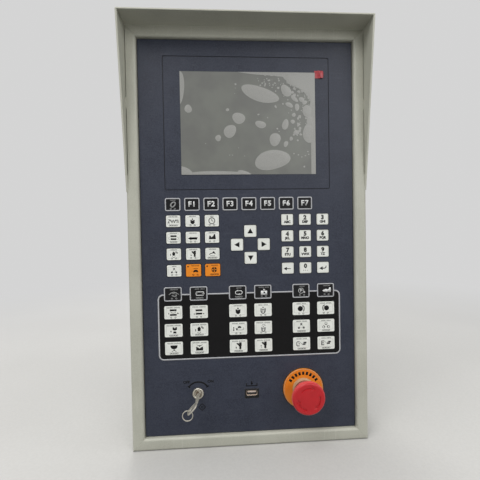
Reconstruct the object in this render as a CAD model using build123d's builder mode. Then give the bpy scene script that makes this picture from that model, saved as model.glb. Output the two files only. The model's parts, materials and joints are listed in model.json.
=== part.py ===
from build123d import *
import math
import os

# Operator control panel of a vertical injection moulding machine.
# The frame: X to the operator's right, Z up, and the front looks towards -Y.
# The origin lies in the middle of the flat back of the mounting plate.
# Depths are told as "out": the distance in front of that back face, so y = -out.

# Sheet steel housing
housing_width = 304.0
housing_depth = 100.0
sheet = 2.0
bend = 2.0
strip_width = 15.0
rear_lip = 14.0
panel_recess = 5.0
cover_thickness = 3.0
cover_inset = 2.0
cover_corner = 3.0

# Hood: the side sheets run on past the front as cheeks and carry a visor
hood_reach = 28.0
hood_length = 206.0
slit_width = 0.8
slit_start = 21.0
slit_length = 82.0
slit_web = 13.0
slit_count = 2

# Mounting neck and plate
mount_size = 150.0
mount_thickness = 8.0
mount_corner = 8.0
mount_spacing = 120.0
mount_hole = 9.0
neck_size = 100.0
neck_wall = 4.0
neck_corner = 6.0
neck_inner_corner = 2.0
neck_length = 30.0
cable_window = 36.0
cable_drop = 24.0
window_corner = 3.0

# Front panel, from the back to the front
panel_gap = 1.0
carrier_thickness = 4.0
carrier_width = 14.0
plate_thickness = 3.0
overlay_thickness = 0.8
key_height = 0.6
field_height = 0.25
panel_corner = 2.0

# Display
bezel_side = 19.5
bezel_head = 19.0
bezel_groove = 0.8
bezel_corner = 1.5
screen_width = 171.0
screen_height = 128.4
screen_shift = 1.6
screen_gap = 0.2
glass_thickness = 3.8
module_margin = 9.0
module_depth = 12.0
film_overlap = 0.5
film_thickness = 0.25
tab_width = 11.0
tab_height = 9.4
tab_drop = 7.0
tab_corner = 3.1

# Heights on the panel, stacked from its top edge to its bottom edge
top_margin = 20.5
function_drop = 18.9
first_drop = 21.0
row_pitch = 20.9
row_count = 4
column_count = 3
field_drop = 29.75
field_length = 84.3
control_drop = 43.45
bottom_margin = 53.0
arrow_drop = 31.1
operation_drop = 23.25

# Keys of the membrane, by field
function_key = (19.3, 16.5)
function_pitch = 24.1
function_start = -96.3
function_count = 8
menu_key = (17.8, 14.5)
menu_pitch = 24.3
menu_start = -96.1
heater_key = (19.0, 15.6)
number_key = (15.2, 14.0)
number_pitch = 23.1
number_start = 49.3
arrow_key = (15.5, 15.0)
arrow_reach = 17.2
arrow_shift = 1.3
field_width = 235.4
field_corner = 6.5
mode_key = (22.4, 18.0)
operation_key = (22.4, 16.6)
operation_pair = 32.4
operation_group = 82.2
operation_pitch = 22.9
operation_rows = 3
key_corner = 1.6

# Row of controls below the field
lock_place = -69.0
port_place = 0.0
stop_place = 67.3

# Key switch
lock_flange = 7.2
lock_flange_height = 3.0
lock_flange_edge = 0.75
lock_barrel_radius = 6.0
lock_barrel_length = 16.0
lock_bore = 4.5
running_gap = 0.05
core_recess = 1.2
core_collar = 5.6
core_collar_length = 2.0
end_gap = 0.3
key_angle = 45.0
keyway_depth = 13.0
blade_width = 7.8
blade_thickness = 1.8
key_edge = 0.55
blade_end_gap = 0.6
blade_reach = 3.0
shaft_width = 4.5
bow_start = 20.5
bow_length = 13.6
bow_width = 16.0
bow_offset = 7.5
bow_corner = 6.0
bow_hole = 3.6
bow_hole_shift = (0.9, 0.8)
ring_radius = 6.0
ring_wire = 0.6
ring_lean = 15.0
nut_thickness = 3.0
nut_overhang = 4.0

# Data port
port_drop = 3.7
port_cut = (17.7, 11.7)
port_rim_recess = 1.5
port_lip = (15.5, 8.4)
port_lip_thickness = 1.0
port_tube = (13.6, 6.4)
port_wall = 0.7
port_depth = 14.0
tongue = (11.0, 1.9)
tongue_recess = 1.5
port_corner = 1.0

# Stop button: mushroom head that is pushed in and turned to let go
stop_disc_radius = 26.2
stop_disc_thickness = 1.5
stop_disc_edge = 0.375
collar_radius = 14.3
collar_bore = 12.7
collar_height = 5.0
collar_edge = 0.5
collar_floor = 0.5
stop_barrel_radius = 11.0
stop_barrel_length = 14.0
stop_travel = 4.0
skirt_radius = 12.2
skirt_length = 3.5
head_radius = 20.5
head_rim_start = 23.5
head_top = 29.6
head_rounding = 3.0
stem_radius = 5.0
stem_seat = 20.0
stem_tail = 4.0
stem_collar = 7.0

# Values that follow
bezel_width = screen_width + 2 * bezel_side
bezel_height = screen_height + 2 * bezel_head
keys_length = function_drop + first_drop + (row_count - 1) * row_pitch + field_drop
panel_height = top_margin + bezel_height + keys_length + field_length + control_drop + bottom_margin
opening_height = panel_height + 2 * panel_gap
housing_height = opening_height + 2 * strip_width
half_width = housing_width / 2
half_height = housing_height / 2
cheek_foot = half_height - hood_length
bezel_middle = panel_height / 2 - top_margin - bezel_height / 2
function_row = bezel_middle - bezel_height / 2 - function_drop
first_row = function_row - first_drop
field_top = first_row - (row_count - 1) * row_pitch - field_drop
field_middle = field_top - field_length / 2
operation_row = field_top - operation_drop
control_row = field_top - field_length - control_drop
arrow_middle = (arrow_shift, first_row - arrow_drop)
neck_out = mount_thickness + neck_length
cover_out = neck_out + cover_thickness
front_out = cover_out + housing_depth
face_out = front_out - panel_recess
plate_out = face_out - overlay_thickness
carrier_out = plate_out - plate_thickness
carrier_back = carrier_out - carrier_thickness
opening_width = housing_width - 2 * strip_width
panel_width = opening_width - 2 * panel_gap
film_width = screen_width + 2 * film_overlap
film_height = screen_height + 2 * film_overlap
film_right = screen_shift + film_width / 2
film_top = bezel_middle + film_height / 2
glass_back = face_out - glass_thickness
lock_hole = lock_barrel_radius + running_gap
stop_hole = stop_barrel_radius + running_gap
skirt_start = stop_disc_thickness + collar_floor + stop_travel + end_gap
port_row = control_row - port_drop
column_signs = (-1, 0, 1)

menu_places = []
for row in range(row_count):
    for column in range(column_count):
        if row < row_count - 1 or column == 0:
            menu_places.append((menu_start + column * menu_pitch, first_row - row * row_pitch))
last_row = first_row - (row_count - 1) * row_pitch
heater_places = [(menu_start + column * menu_pitch, last_row) for column in range(1, column_count)]
function_places = [(function_start + index * function_pitch, function_row) for index in range(function_count)]
number_places = []
for row in range(row_count):
    for column in range(column_count):
        number_places.append((number_start + column * number_pitch, first_row - row * row_pitch))
arrow_places = [
    (arrow_middle[0], arrow_middle[1] + arrow_reach),
    (arrow_middle[0] - arrow_reach, arrow_middle[1]),
    (arrow_middle[0] + arrow_reach, arrow_middle[1]),
    (arrow_middle[0], arrow_middle[1] - arrow_reach),
]
operation_columns = []
for side in column_signs:
    operation_columns.append(side * operation_group - operation_pair / 2)
    operation_columns.append(side * operation_group + operation_pair / 2)
mode_places = [(x, field_top) for x in operation_columns]
operation_places = []
for row in range(operation_rows):
    for x in operation_columns:
        operation_places.append((x, operation_row - row * operation_pitch))


def front(out):
    # Sketch plane parallel to the panel, at a depth, looking at the operator
    return Plane.XZ.offset(out)


def finish(piece, name):
    # Labels a finished piece and writes it under its own name
    piece.label = name
    export_step(piece, f"parts/{name}.step")


def channel(half, start, stop, folded_front):
    # Bent sheet wall at x = -half: rear lip, web, front strip and the strip's return flange.
    # With folded_front the strip is bent from the web, without it the strip butts against
    # the web, which runs straight on to the front.
    web_x = -half + sheet / 2
    lip_y = -(cover_out + sheet / 2)
    strip_y = -(front_out - sheet / 2)
    return_x = -half + strip_width - sheet / 2
    lip_end = (-half + rear_lip, lip_y)
    strip_end = (return_x, -carrier_back)
    with BuildPart() as wall:
        with BuildSketch(Plane.XY.offset(start)):
            if folded_front:
                with BuildLine():
                    FilletPolyline(
                        lip_end, (web_x, lip_y), (web_x, strip_y), (return_x, strip_y), strip_end, radius=bend
                    )
                trace(line_width=sheet)
            else:
                with BuildLine():
                    FilletPolyline(lip_end, (web_x, lip_y), (web_x, -front_out), radius=bend)
                trace(line_width=sheet)
                with BuildLine():
                    FilletPolyline((-half + sheet, strip_y), (return_x, strip_y), strip_end, radius=bend)
                trace(line_width=sheet)
        extrude(amount=stop - start)
    return wall.part


def mitred(wall, half, reach):
    # Cuts both ends of a wall at 45 degrees, from the outer corner inwards
    with BuildPart() as cut:
        add(wall)
        split(bisect_by=Plane(origin=(-half, 0, reach), z_dir=(1, 0, 1)), keep=Keep.BOTTOM)
        split(bisect_by=Plane(origin=(-half, 0, -reach), z_dir=(1, 0, -1)), keep=Keep.BOTTOM)
    return cut.part


os.makedirs("parts", exist_ok=True)

# Left side sheet: folded below, with the cheek of the hood and two slits above
side_low = channel(half_width, -half_height, cheek_foot, True)
side_high = channel(half_width, cheek_foot, half_height, False)
slit_x = -half_width + sheet
with BuildPart() as left_wall:
    add(mitred(side_low + side_high, half_width, half_height))
    with BuildSketch(Plane.YZ.offset(-half_width)):
        with BuildLine():
            Polyline(
                (-front_out, cheek_foot),
                (-front_out - hood_reach, half_height - sheet),
                (-front_out, half_height - sheet),
                close=True,
            )
        make_face()
    extrude(amount=sheet)
    for index in range(slit_count):
        slit_foot = cheek_foot + slit_start + index * (slit_length + slit_web)
        with BuildSketch(Plane.XY.offset(slit_foot)):
            with Locations((slit_x, -front_out)):
                Rectangle(slit_width, 2 * sheet, align=(Align.MIN, Align.CENTER))
        extrude(amount=slit_length, mode=Mode.SUBTRACT)
finish(left_wall.part, "left_wall")

with BuildPart() as right_wall:
    mirror(left_wall.part, about=Plane.YZ)
finish(right_wall.part, "right_wall")

# Top sheet, which runs on as the visor over both cheeks
with BuildPart() as top_wall:
    add(mitred(channel(half_height, -half_width, half_width, False), half_height, half_width), rotation=(0, 90, 0))
    with BuildSketch(Plane.XY.offset(half_height - sheet)):
        with Locations((0, -front_out)):
            Rectangle(housing_width, hood_reach, align=(Align.CENTER, Align.MAX))
    extrude(amount=sheet)
finish(top_wall.part, "top_wall")

with BuildPart() as bottom_wall:
    add(mitred(channel(half_height, -half_width, half_width, True), half_height, half_width), rotation=(0, -90, 0))
finish(bottom_wall.part, "bottom_wall")

# Rear cover with a window for the machine's cable
with BuildPart() as rear_cover:
    with BuildSketch(front(neck_out)):
        RectangleRounded(housing_width - 2 * cover_inset, housing_height - 2 * cover_inset, cover_corner)
        with Locations((0, -cable_drop)):
            RectangleRounded(cable_window, cable_window, window_corner, mode=Mode.SUBTRACT)
    extrude(amount=cover_thickness)
finish(rear_cover.part, "rear_cover")

# Square neck between the rear cover and the mounting plate
with BuildPart() as mount_neck:
    with BuildSketch(front(mount_thickness)):
        RectangleRounded(neck_size, neck_size, neck_corner)
        RectangleRounded(
            neck_size - 2 * neck_wall, neck_size - 2 * neck_wall, neck_inner_corner, mode=Mode.SUBTRACT
        )
    extrude(amount=neck_length)
finish(mount_neck.part, "mount_neck")

with BuildPart() as mounting_plate:
    with BuildSketch(front(0)):
        RectangleRounded(mount_size, mount_size, mount_corner)
        with Locations((0, -cable_drop)):
            RectangleRounded(cable_window, cable_window, window_corner, mode=Mode.SUBTRACT)
        with GridLocations(mount_spacing, mount_spacing, 2, 2):
            Circle(mount_hole / 2, mode=Mode.SUBTRACT)
    extrude(amount=mount_thickness)
finish(mounting_plate.part, "mounting_plate")

# Ring of flat bar inside the return flanges, which the front panel lies on
with BuildPart() as panel_carrier:
    with BuildSketch(front(carrier_back)):
        Rectangle(opening_width, opening_height)
        Rectangle(opening_width - 2 * carrier_width, opening_height - 2 * carrier_width, mode=Mode.SUBTRACT)
    extrude(amount=carrier_thickness)
finish(panel_carrier.part, "panel_carrier")

# Panel plate with the cut-outs for display, lock, port and stop button
with BuildPart() as panel_plate:
    with BuildSketch(front(carrier_out)):
        RectangleRounded(panel_width, panel_height, panel_corner)
        with Locations((screen_shift, bezel_middle)):
            Rectangle(screen_width + 2 * screen_gap, screen_height + 2 * screen_gap, mode=Mode.SUBTRACT)
        with Locations((lock_place, control_row)):
            Circle(lock_hole, mode=Mode.SUBTRACT)
        with Locations((port_place, port_row)):
            Rectangle(*port_cut, mode=Mode.SUBTRACT)
        with Locations((stop_place, control_row)):
            Circle(stop_hole, mode=Mode.SUBTRACT)
    extrude(amount=plate_thickness)
finish(panel_plate.part, "panel_plate")

# Printed membrane over the plate, open round the display frame and the controls
with BuildPart() as panel_overlay:
    with BuildSketch(front(plate_out)):
        RectangleRounded(panel_width, panel_height, panel_corner)
        with Locations((0, bezel_middle)):
            RectangleRounded(
                bezel_width + 2 * bezel_groove,
                bezel_height + 2 * bezel_groove,
                bezel_corner + bezel_groove,
                mode=Mode.SUBTRACT,
            )
        with Locations((lock_place, control_row)):
            Circle(lock_hole, mode=Mode.SUBTRACT)
        with Locations((port_place, port_row)):
            Rectangle(*port_cut, mode=Mode.SUBTRACT)
        with Locations((stop_place, control_row)):
            Circle(stop_hole, mode=Mode.SUBTRACT)
    extrude(amount=overlay_thickness)
finish(panel_overlay.part, "panel_overlay")

# Display frame, flush with the membrane inside a narrow groove
with BuildPart() as display_frame:
    with BuildSketch(front(plate_out)):
        with Locations((0, bezel_middle)):
            RectangleRounded(bezel_width, bezel_height, bezel_corner)
        with Locations((screen_shift, bezel_middle)):
            Rectangle(screen_width + 2 * screen_gap, screen_height + 2 * screen_gap, mode=Mode.SUBTRACT)
    extrude(amount=overlay_thickness)
finish(display_frame.part, "display_frame")

with BuildPart() as display_glass:
    with BuildSketch(front(glass_back)):
        with Locations((screen_shift, bezel_middle)):
            Rectangle(screen_width, screen_height)
    extrude(amount=glass_thickness)
finish(display_glass.part, "display_glass")

# Display module behind the plate, which the glass lies on
with BuildPart() as display_module:
    with BuildSketch(front(carrier_out)):
        with Locations((screen_shift, bezel_middle)):
            Rectangle(screen_width + 2 * module_margin, screen_height + 2 * module_margin)
    extrude(amount=-module_depth)
finish(display_module.part, "display_module")

# Protective film left on the screen, with the tab that pulls it off
with BuildPart() as screen_film:
    with BuildSketch(front(face_out)):
        with Locations((screen_shift, bezel_middle)):
            Rectangle(film_width, film_height)
    extrude(amount=film_thickness)
finish(screen_film.part, "screen_film")

with BuildPart() as film_tab:
    with BuildSketch(front(face_out)):
        with Locations((film_right, film_top - tab_drop)):
            Rectangle(tab_width, tab_height, align=(Align.MIN, Align.MIN))
    extrude(amount=film_thickness)
    fillet(film_tab.edges().filter_by(Axis.Y).group_by(Axis.X)[-1], tab_corner)
finish(film_tab.part, "film_tab")


def key_pads(places, size):
    # Raised pads of the membrane, one rounded rectangle at each place
    with BuildPart() as pads:
        with BuildSketch(front(face_out)):
            with Locations(*places):
                RectangleRounded(*size, key_corner)
        extrude(amount=key_height)
    return pads.part


finish(key_pads(function_places, function_key), "function_keys")
finish(key_pads(menu_places, menu_key), "menu_keys")
finish(key_pads(heater_places, heater_key), "heater_keys")
finish(key_pads(arrow_places, arrow_key), "arrow_keys")
finish(key_pads(number_places, number_key), "number_keys")
finish(key_pads(mode_places, mode_key), "mode_keys")
finish(key_pads(operation_places, operation_key), "operation_keys")

# Dark printed field between the operation keys
with BuildPart() as operation_field:
    with BuildSketch(front(face_out)):
        with Locations((0, field_middle)):
            RectangleRounded(field_width, field_length, field_corner)
        with Locations(*mode_places):
            RectangleRounded(*mode_key, key_corner, mode=Mode.SUBTRACT)
        with Locations(*operation_places):
            RectangleRounded(*operation_key, key_corner, mode=Mode.SUBTRACT)
    extrude(amount=field_height)
finish(operation_field.part, "operation_field")

# Key switch: flanged barrel through the panel, held by a nut from behind
lock_axis = Plane(origin=(lock_place, -face_out, control_row), x_dir=(1, 0, 0), z_dir=(0, -1, 0))
with BuildPart() as lock_barrel:
    with BuildSketch(lock_axis):
        Circle(lock_flange)
    extrude(amount=lock_flange_height)
    chamfer(lock_barrel.faces().sort_by(Axis.Y)[0].edges(), lock_flange_edge)
    with BuildSketch(lock_axis):
        Circle(lock_barrel_radius)
    extrude(amount=-lock_barrel_length)
    with BuildSketch(lock_axis.offset(lock_flange_height)):
        Circle(lock_bore)
    extrude(amount=-lock_flange_height - lock_barrel_length, mode=Mode.SUBTRACT)
finish(lock_barrel.part, "lock_barrel")

nut_front = Plane(origin=(lock_place, -carrier_out, control_row), x_dir=(1, 0, 0), z_dir=(0, -1, 0))
with BuildPart() as lock_nut:
    with BuildSketch(nut_front):
        RegularPolygon(lock_barrel_radius + nut_overhang, 6)
        Circle(lock_barrel_radius + running_gap, mode=Mode.SUBTRACT)
    extrude(amount=-nut_thickness)
finish(lock_nut.part, "lock_nut")

# Turning core with the keyway, held in the barrel by a collar at its rear end.
# The key lies in a plane through the axis, tilted by the key angle.
core_front = lock_flange_height - core_recess
core_back = -lock_barrel_length - end_gap
tilt = math.radians(key_angle)
key_plane = Plane(
    origin=(lock_place, -face_out, control_row),
    x_dir=(0, -1, 0),
    z_dir=(math.cos(tilt), 0, -math.sin(tilt)),
)
with BuildPart() as lock_core:
    with BuildSketch(lock_axis.offset(core_front)):
        Circle(lock_bore - running_gap)
    extrude(amount=core_back - core_front)
    with BuildSketch(lock_axis.offset(core_back)):
        Circle(core_collar)
    extrude(amount=-core_collar_length)
    with BuildSketch(key_plane):
        with Locations((core_front, 0)):
            Rectangle(keyway_depth, blade_width + 2 * running_gap, align=(Align.MAX, Align.CENTER))
    extrude(amount=blade_thickness / 2 + running_gap, both=True, mode=Mode.SUBTRACT)
finish(lock_core.part, "lock_core")

# Flat key: blade in the keyway, a narrow shaft, and a bow to one side of it with a hole for the ring
blade_tip = core_front - keyway_depth + blade_end_gap
bow_middle = bow_start + bow_length / 2
bow_edge = bow_offset - bow_width / 2
bow_hole_place = (bow_middle + bow_hole_shift[0], bow_offset + bow_hole_shift[1])
with BuildPart() as key:
    with BuildSketch(key_plane):
        with Locations((blade_tip, 0)):
            Rectangle(blade_reach - blade_tip, blade_width, align=(Align.MIN, Align.CENTER))
        with BuildLine():
            Polyline(
                (blade_tip, -shaft_width / 2),
                (blade_reach, -shaft_width / 2),
                (bow_middle, bow_edge),
                (bow_middle, bow_offset),
                (bow_start, shaft_width / 2),
                (blade_tip, shaft_width / 2),
                close=True,
            )
        make_face()
        with Locations((bow_middle, bow_offset)):
            RectangleRounded(bow_length, bow_width, bow_corner)
        with Locations(bow_hole_place):
            Circle(bow_hole, mode=Mode.SUBTRACT)
    extrude(amount=blade_thickness / 2, both=True)
    chamfer(key.faces().filter_by(Axis((0, 0, 0), key_plane.x_dir)).sort_by(Axis.Y)[-1].edges(), key_edge)
finish(key.part, "key")

# Wire ring through the bow: square to the lock's axis, it hangs on the hole's edge and leans towards the plumb line
ring_seat = bow_hole - ring_wire - end_gap
ring_hang = Pos(0, ring_seat, 0) * Rot(ring_lean, 0, 0) * Pos(0, ring_radius, 0)
ring_plane = Plane(key_plane * Pos(*bow_hole_place, 0) * ring_hang)
with BuildPart() as key_ring:
    with BuildSketch(ring_plane):
        with Locations((0, ring_radius)):
            Circle(ring_wire)
    revolve(axis=Axis(ring_plane.origin, ring_plane.x_dir))
finish(key_ring.part, "key_ring")

# Data port: black insert, steel shell with a lip, and the contact tongue
port_mouth = Plane(origin=(port_place, -face_out, port_row), x_dir=(1, 0, 0), z_dir=(0, -1, 0))
with BuildPart() as port_insert:
    with BuildSketch(port_mouth.offset(-port_rim_recess)):
        Rectangle(*port_cut)
        Rectangle(*port_tube, mode=Mode.SUBTRACT)
    extrude(amount=port_rim_recess - port_depth + port_wall)
finish(port_insert.part, "port_insert")

slot_width = port_tube[0] - 2 * port_wall
slot_height = port_tube[1] - 2 * port_wall
with BuildPart() as port_shell:
    with BuildSketch(port_mouth.offset(-port_rim_recess)):
        RectangleRounded(*port_lip, port_corner)
    extrude(amount=port_lip_thickness)
    with BuildSketch(port_mouth.offset(-port_rim_recess)):
        Rectangle(*port_tube)
    extrude(amount=port_rim_recess - port_depth)
    with BuildSketch(port_mouth):
        Rectangle(slot_width, slot_height)
    extrude(amount=port_wall - port_depth, mode=Mode.SUBTRACT)
finish(port_shell.part, "port_shell")

with BuildPart() as port_tongue:
    with BuildSketch(port_mouth.offset(port_wall - port_depth)):
        with Locations((0, slot_height / 2)):
            Rectangle(*tongue, align=(Align.CENTER, Align.MAX))
    extrude(amount=port_depth - port_wall - port_rim_recess - tongue_recess)
finish(port_tongue.part, "port_tongue")

# Stop button: legend disc, collar with its threaded barrel, nut, plunger and head.
# Profiles are drawn in the plane through the axis, with the radius along X.
stop_axis = Plane(origin=(stop_place, -face_out, control_row), x_dir=(1, 0, 0), z_dir=(0, -1, 0))
stop_profile = Plane(origin=stop_axis.origin, x_dir=(1, 0, 0), z_dir=(0, 0, 1))
stop_line = Axis(stop_axis.origin, (0, -1, 0))
with BuildPart() as stop_disc:
    with BuildSketch(stop_axis):
        Circle(stop_disc_radius)
        Circle(stop_hole, mode=Mode.SUBTRACT)
    extrude(amount=stop_disc_thickness)
    chamfer(stop_disc.faces().sort_by(Axis.Y)[0].edges().sort_by(SortBy.LENGTH)[-1], stop_disc_edge)
finish(stop_disc.part, "stop_disc")

collar_front = stop_disc_thickness + collar_height
stem_bore = stem_radius + running_gap
with BuildPart() as stop_collar:
    with BuildSketch(stop_axis.offset(stop_disc_thickness)):
        Circle(collar_radius)
    extrude(amount=collar_height)
    fillet(stop_collar.faces().sort_by(Axis.Y)[0].edges(), collar_edge)
    with BuildSketch(stop_axis.offset(stop_disc_thickness)):
        Circle(stop_barrel_radius)
    extrude(amount=-stop_disc_thickness - stop_barrel_length)
    with BuildSketch(stop_axis.offset(collar_front)):
        Circle(collar_bore)
    extrude(amount=collar_floor - collar_height, mode=Mode.SUBTRACT)
    with BuildSketch(stop_axis.offset(collar_front)):
        Circle(stem_bore)
    extrude(amount=-collar_front - stop_barrel_length, mode=Mode.SUBTRACT)
finish(stop_collar.part, "stop_collar")

with BuildPart() as stop_nut:
    with BuildSketch(Plane(origin=(stop_place, -carrier_out, control_row), x_dir=(1, 0, 0), z_dir=(0, -1, 0))):
        RegularPolygon(stop_barrel_radius + nut_overhang, 6)
        Circle(stop_barrel_radius + running_gap, mode=Mode.SUBTRACT)
    extrude(amount=-nut_thickness)
finish(stop_nut.part, "stop_nut")

# Plunger: a stem in the barrel with a stop collar behind it
stem_back = -stop_barrel_length - stem_tail
with BuildPart() as stop_plunger:
    with BuildSketch(stop_axis.offset(stem_back)):
        Circle(stem_radius)
    extrude(amount=stem_seat - stem_back)
    with BuildSketch(stop_axis.offset(stem_back)):
        Circle(stem_collar)
    extrude(amount=stem_tail - end_gap)
finish(stop_plunger.part, "stop_plunger")

# Mushroom head: skirt in the collar, cone out to the rim, rounded front
with BuildPart() as stop_head:
    with BuildSketch(stop_profile):
        with BuildLine():
            Polyline(
                (0, -skirt_start),
                (skirt_radius, -skirt_start),
                (skirt_radius, -skirt_start - skirt_length),
                (head_radius, -head_rim_start),
                (head_radius, -head_top),
                (0, -head_top),
                close=True,
            )
        make_face()
    revolve(axis=stop_line)
    fillet(stop_head.faces().sort_by(Axis.Y)[0].edges(), head_rounding)
    with BuildSketch(stop_axis.offset(skirt_start)):
        Circle(stem_bore)
    extrude(amount=stem_seat + end_gap - skirt_start, mode=Mode.SUBTRACT)
finish(stop_head.part, "stop_head")
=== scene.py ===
import json

import bmesh
import bpy
import numpy as np
from mathutils import Matrix, Vector

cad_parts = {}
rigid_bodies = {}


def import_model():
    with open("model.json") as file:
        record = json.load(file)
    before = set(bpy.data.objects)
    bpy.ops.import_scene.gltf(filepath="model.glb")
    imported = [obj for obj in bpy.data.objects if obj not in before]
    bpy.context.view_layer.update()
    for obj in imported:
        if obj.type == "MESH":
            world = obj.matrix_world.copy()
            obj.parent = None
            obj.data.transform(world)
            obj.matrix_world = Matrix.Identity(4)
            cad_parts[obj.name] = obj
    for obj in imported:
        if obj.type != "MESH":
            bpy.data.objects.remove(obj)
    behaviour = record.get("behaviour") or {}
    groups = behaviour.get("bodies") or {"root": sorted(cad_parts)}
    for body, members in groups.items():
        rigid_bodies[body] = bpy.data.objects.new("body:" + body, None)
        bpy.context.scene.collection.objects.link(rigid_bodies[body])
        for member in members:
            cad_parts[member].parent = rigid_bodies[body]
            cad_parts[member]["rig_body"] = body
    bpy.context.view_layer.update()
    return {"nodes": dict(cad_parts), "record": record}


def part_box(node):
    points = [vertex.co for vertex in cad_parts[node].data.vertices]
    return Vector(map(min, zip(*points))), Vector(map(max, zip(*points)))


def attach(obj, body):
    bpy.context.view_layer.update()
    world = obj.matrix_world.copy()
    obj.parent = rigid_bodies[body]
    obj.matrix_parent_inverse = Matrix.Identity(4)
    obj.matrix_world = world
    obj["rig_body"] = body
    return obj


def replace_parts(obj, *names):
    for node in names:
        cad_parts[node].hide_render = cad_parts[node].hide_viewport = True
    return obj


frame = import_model()
print("frame loaded with", len(frame["nodes"]), "nodes")

# Operator control panel of a vertical injection moulding machine.
# Metres, X to the operator's right, Z up, the front looks towards -Y.
# Signs, small details and looks are written in millimetres and scaled once.
mm = 0.001
fullTurn = 2 * np.pi


# Finishes

def linearColour(red, green, blue):
    # A screen colour from 0 to 255, turned into the linear value that a shader takes
    screen = np.array((red, green, blue)) / 255
    linear = np.where(screen <= 0.04045, screen / 12.92, ((screen + 0.055) / 1.055) ** 2.4)
    return (*linear.tolist(), 1.0)


def addNode(tree, kind, inputs=None, **settings):
    # A node with its settings; an input takes a plain value or another node's output
    node = tree.nodes.new(kind)
    for name, value in settings.items():
        setattr(node, name, value)
    for name, value in (inputs or {}).items():
        if isinstance(value, bpy.types.NodeSocket):
            tree.links.new(value, node.inputs[name])
        else:
            node.inputs[name].default_value = value
    return node


def spread(tree, value, low, high, fromLow=0.35, fromHigh=0.65):
    # Stretches a noise, which keeps near its middle, over the whole range
    stretched = addNode(tree, "ShaderNodeMapRange", {
        "Value": value, "From Min": fromLow, "From Max": fromHigh, "To Min": low, "To Max": high})
    return stretched.outputs["Result"]


def blendColours(tree, factor, first, second):
    mixed = addNode(tree, "ShaderNodeMix", data_type="RGBA")
    for socket, value in ((mixed.inputs[0], factor), (mixed.inputs[6], first), (mixed.inputs[7], second)):
        if isinstance(value, bpy.types.NodeSocket):
            tree.links.new(value, socket)
        else:
            socket.default_value = value
    return mixed.outputs[2]


def noiseAt(tree, place, size, detail=2.0, stretch=(1, 1, 1)):
    # Noise whose features are about size mm wide, drawn out along an axis by stretch
    scaled = addNode(tree, "ShaderNodeMapping", {"Vector": place, "Scale": tuple(1 / (size * mm * s) for s in stretch)})
    return addNode(tree, "ShaderNodeTexNoise", {
        "Vector": scaled.outputs["Vector"], "Scale": 1.0, "Detail": detail}).outputs["Fac"]


# What a finish has where its own look says nothing else, and the inputs that these values go to
plainLook = {
    "broadSize": 6, "grainSize": 0.5, "grainShare": 0.4, "roughness": (0.4, 0.55), "stretch": (1, 1, 1),
    "bumpSize": 0.5, "bump": 0.2, "bumpDepth": 0.02, "rubRange": (0.62, 0.72),
    "metallic": 0.0, "specular": 0.5, "coat": 0.0, "coatRoughness": 0.15, "sheen": 0.0, "sheenRoughness": 0.5,
}
shaderInputs = {
    "metallic": "Metallic", "specular": "Specular IOR Level", "coat": "Coat Weight",
    "coatRoughness": "Coat Roughness", "sheen": "Sheen Weight", "sheenRoughness": "Sheen Roughness",
}


def newMaterial(name):
    # A material, its tree and shader, and the place of the shaded point on its object
    material = bpy.data.materials.new(name)
    material.use_nodes = True
    tree = material.node_tree
    place = addNode(tree, "ShaderNodeTexCoord").outputs["Object"]
    return material, tree, tree.nodes["Principled BSDF"], place


def addRelief(tree, shader, height, strength, depth):
    # Lets a noise bend the shading as if it were so many mm deep
    relief = addNode(tree, "ShaderNodeBump", {"Height": height, "Strength": strength, "Distance": depth * mm})
    tree.links.new(relief.outputs["Normal"], shader.inputs["Normal"])


def makeFinish(name, look):
    # Broad shade and fine grain mix the colour, grain sets the roughness and, with the pebble, the bump,
    # thin rubbed lines run over everything, and a painted highlight, a lighter colour that stands in for light, grows
    # from one place along y to another
    look = {**plainLook, **look}
    material, tree, shader, place = newMaterial(name)
    broad = noiseAt(tree, place, look["broadSize"])
    grain = noiseAt(tree, place, look["grainSize"], 3.0, look["stretch"])
    colour = blendColours(tree, spread(tree, broad, 0, 1), linearColour(*look["colour"]), linearColour(*look["shade"]))
    colour = blendColours(tree, spread(tree, grain, 0, look["grainShare"]), colour, linearColour(*look["grain"]))
    if "rub" in look:
        rub = noiseAt(tree, place, look["rubSize"], 4.0, look["rubStretch"])
        share = spread(tree, rub, 0, look["rubShare"], *look["rubRange"])
        colour = blendColours(tree, share, colour, linearColour(*look["rub"]))
    # Painted highlight: behind the span along y the colour turns lighter, in place of light falling there
    if "paintedRimHighlight" in look:
        outward = addNode(tree, "ShaderNodeSeparateXYZ", {"Vector": place}).outputs["Y"]
        share = spread(tree, outward, 0, 1, *(y * mm for y in look["fadeSpan"]))
        colour = blendColours(tree, share, colour, linearColour(*look["paintedRimHighlight"]))
    tree.links.new(colour, shader.inputs["Base Color"])
    tree.links.new(spread(tree, grain, *look["roughness"]), shader.inputs["Roughness"])
    pebble = noiseAt(tree, place, look["bumpSize"], 2.0, look["stretch"])
    addRelief(tree, shader, pebble, look["bump"], look["bumpDepth"])
    for key, socket in shaderInputs.items():
        shader.inputs[socket].default_value = look[key]
    return material


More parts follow.
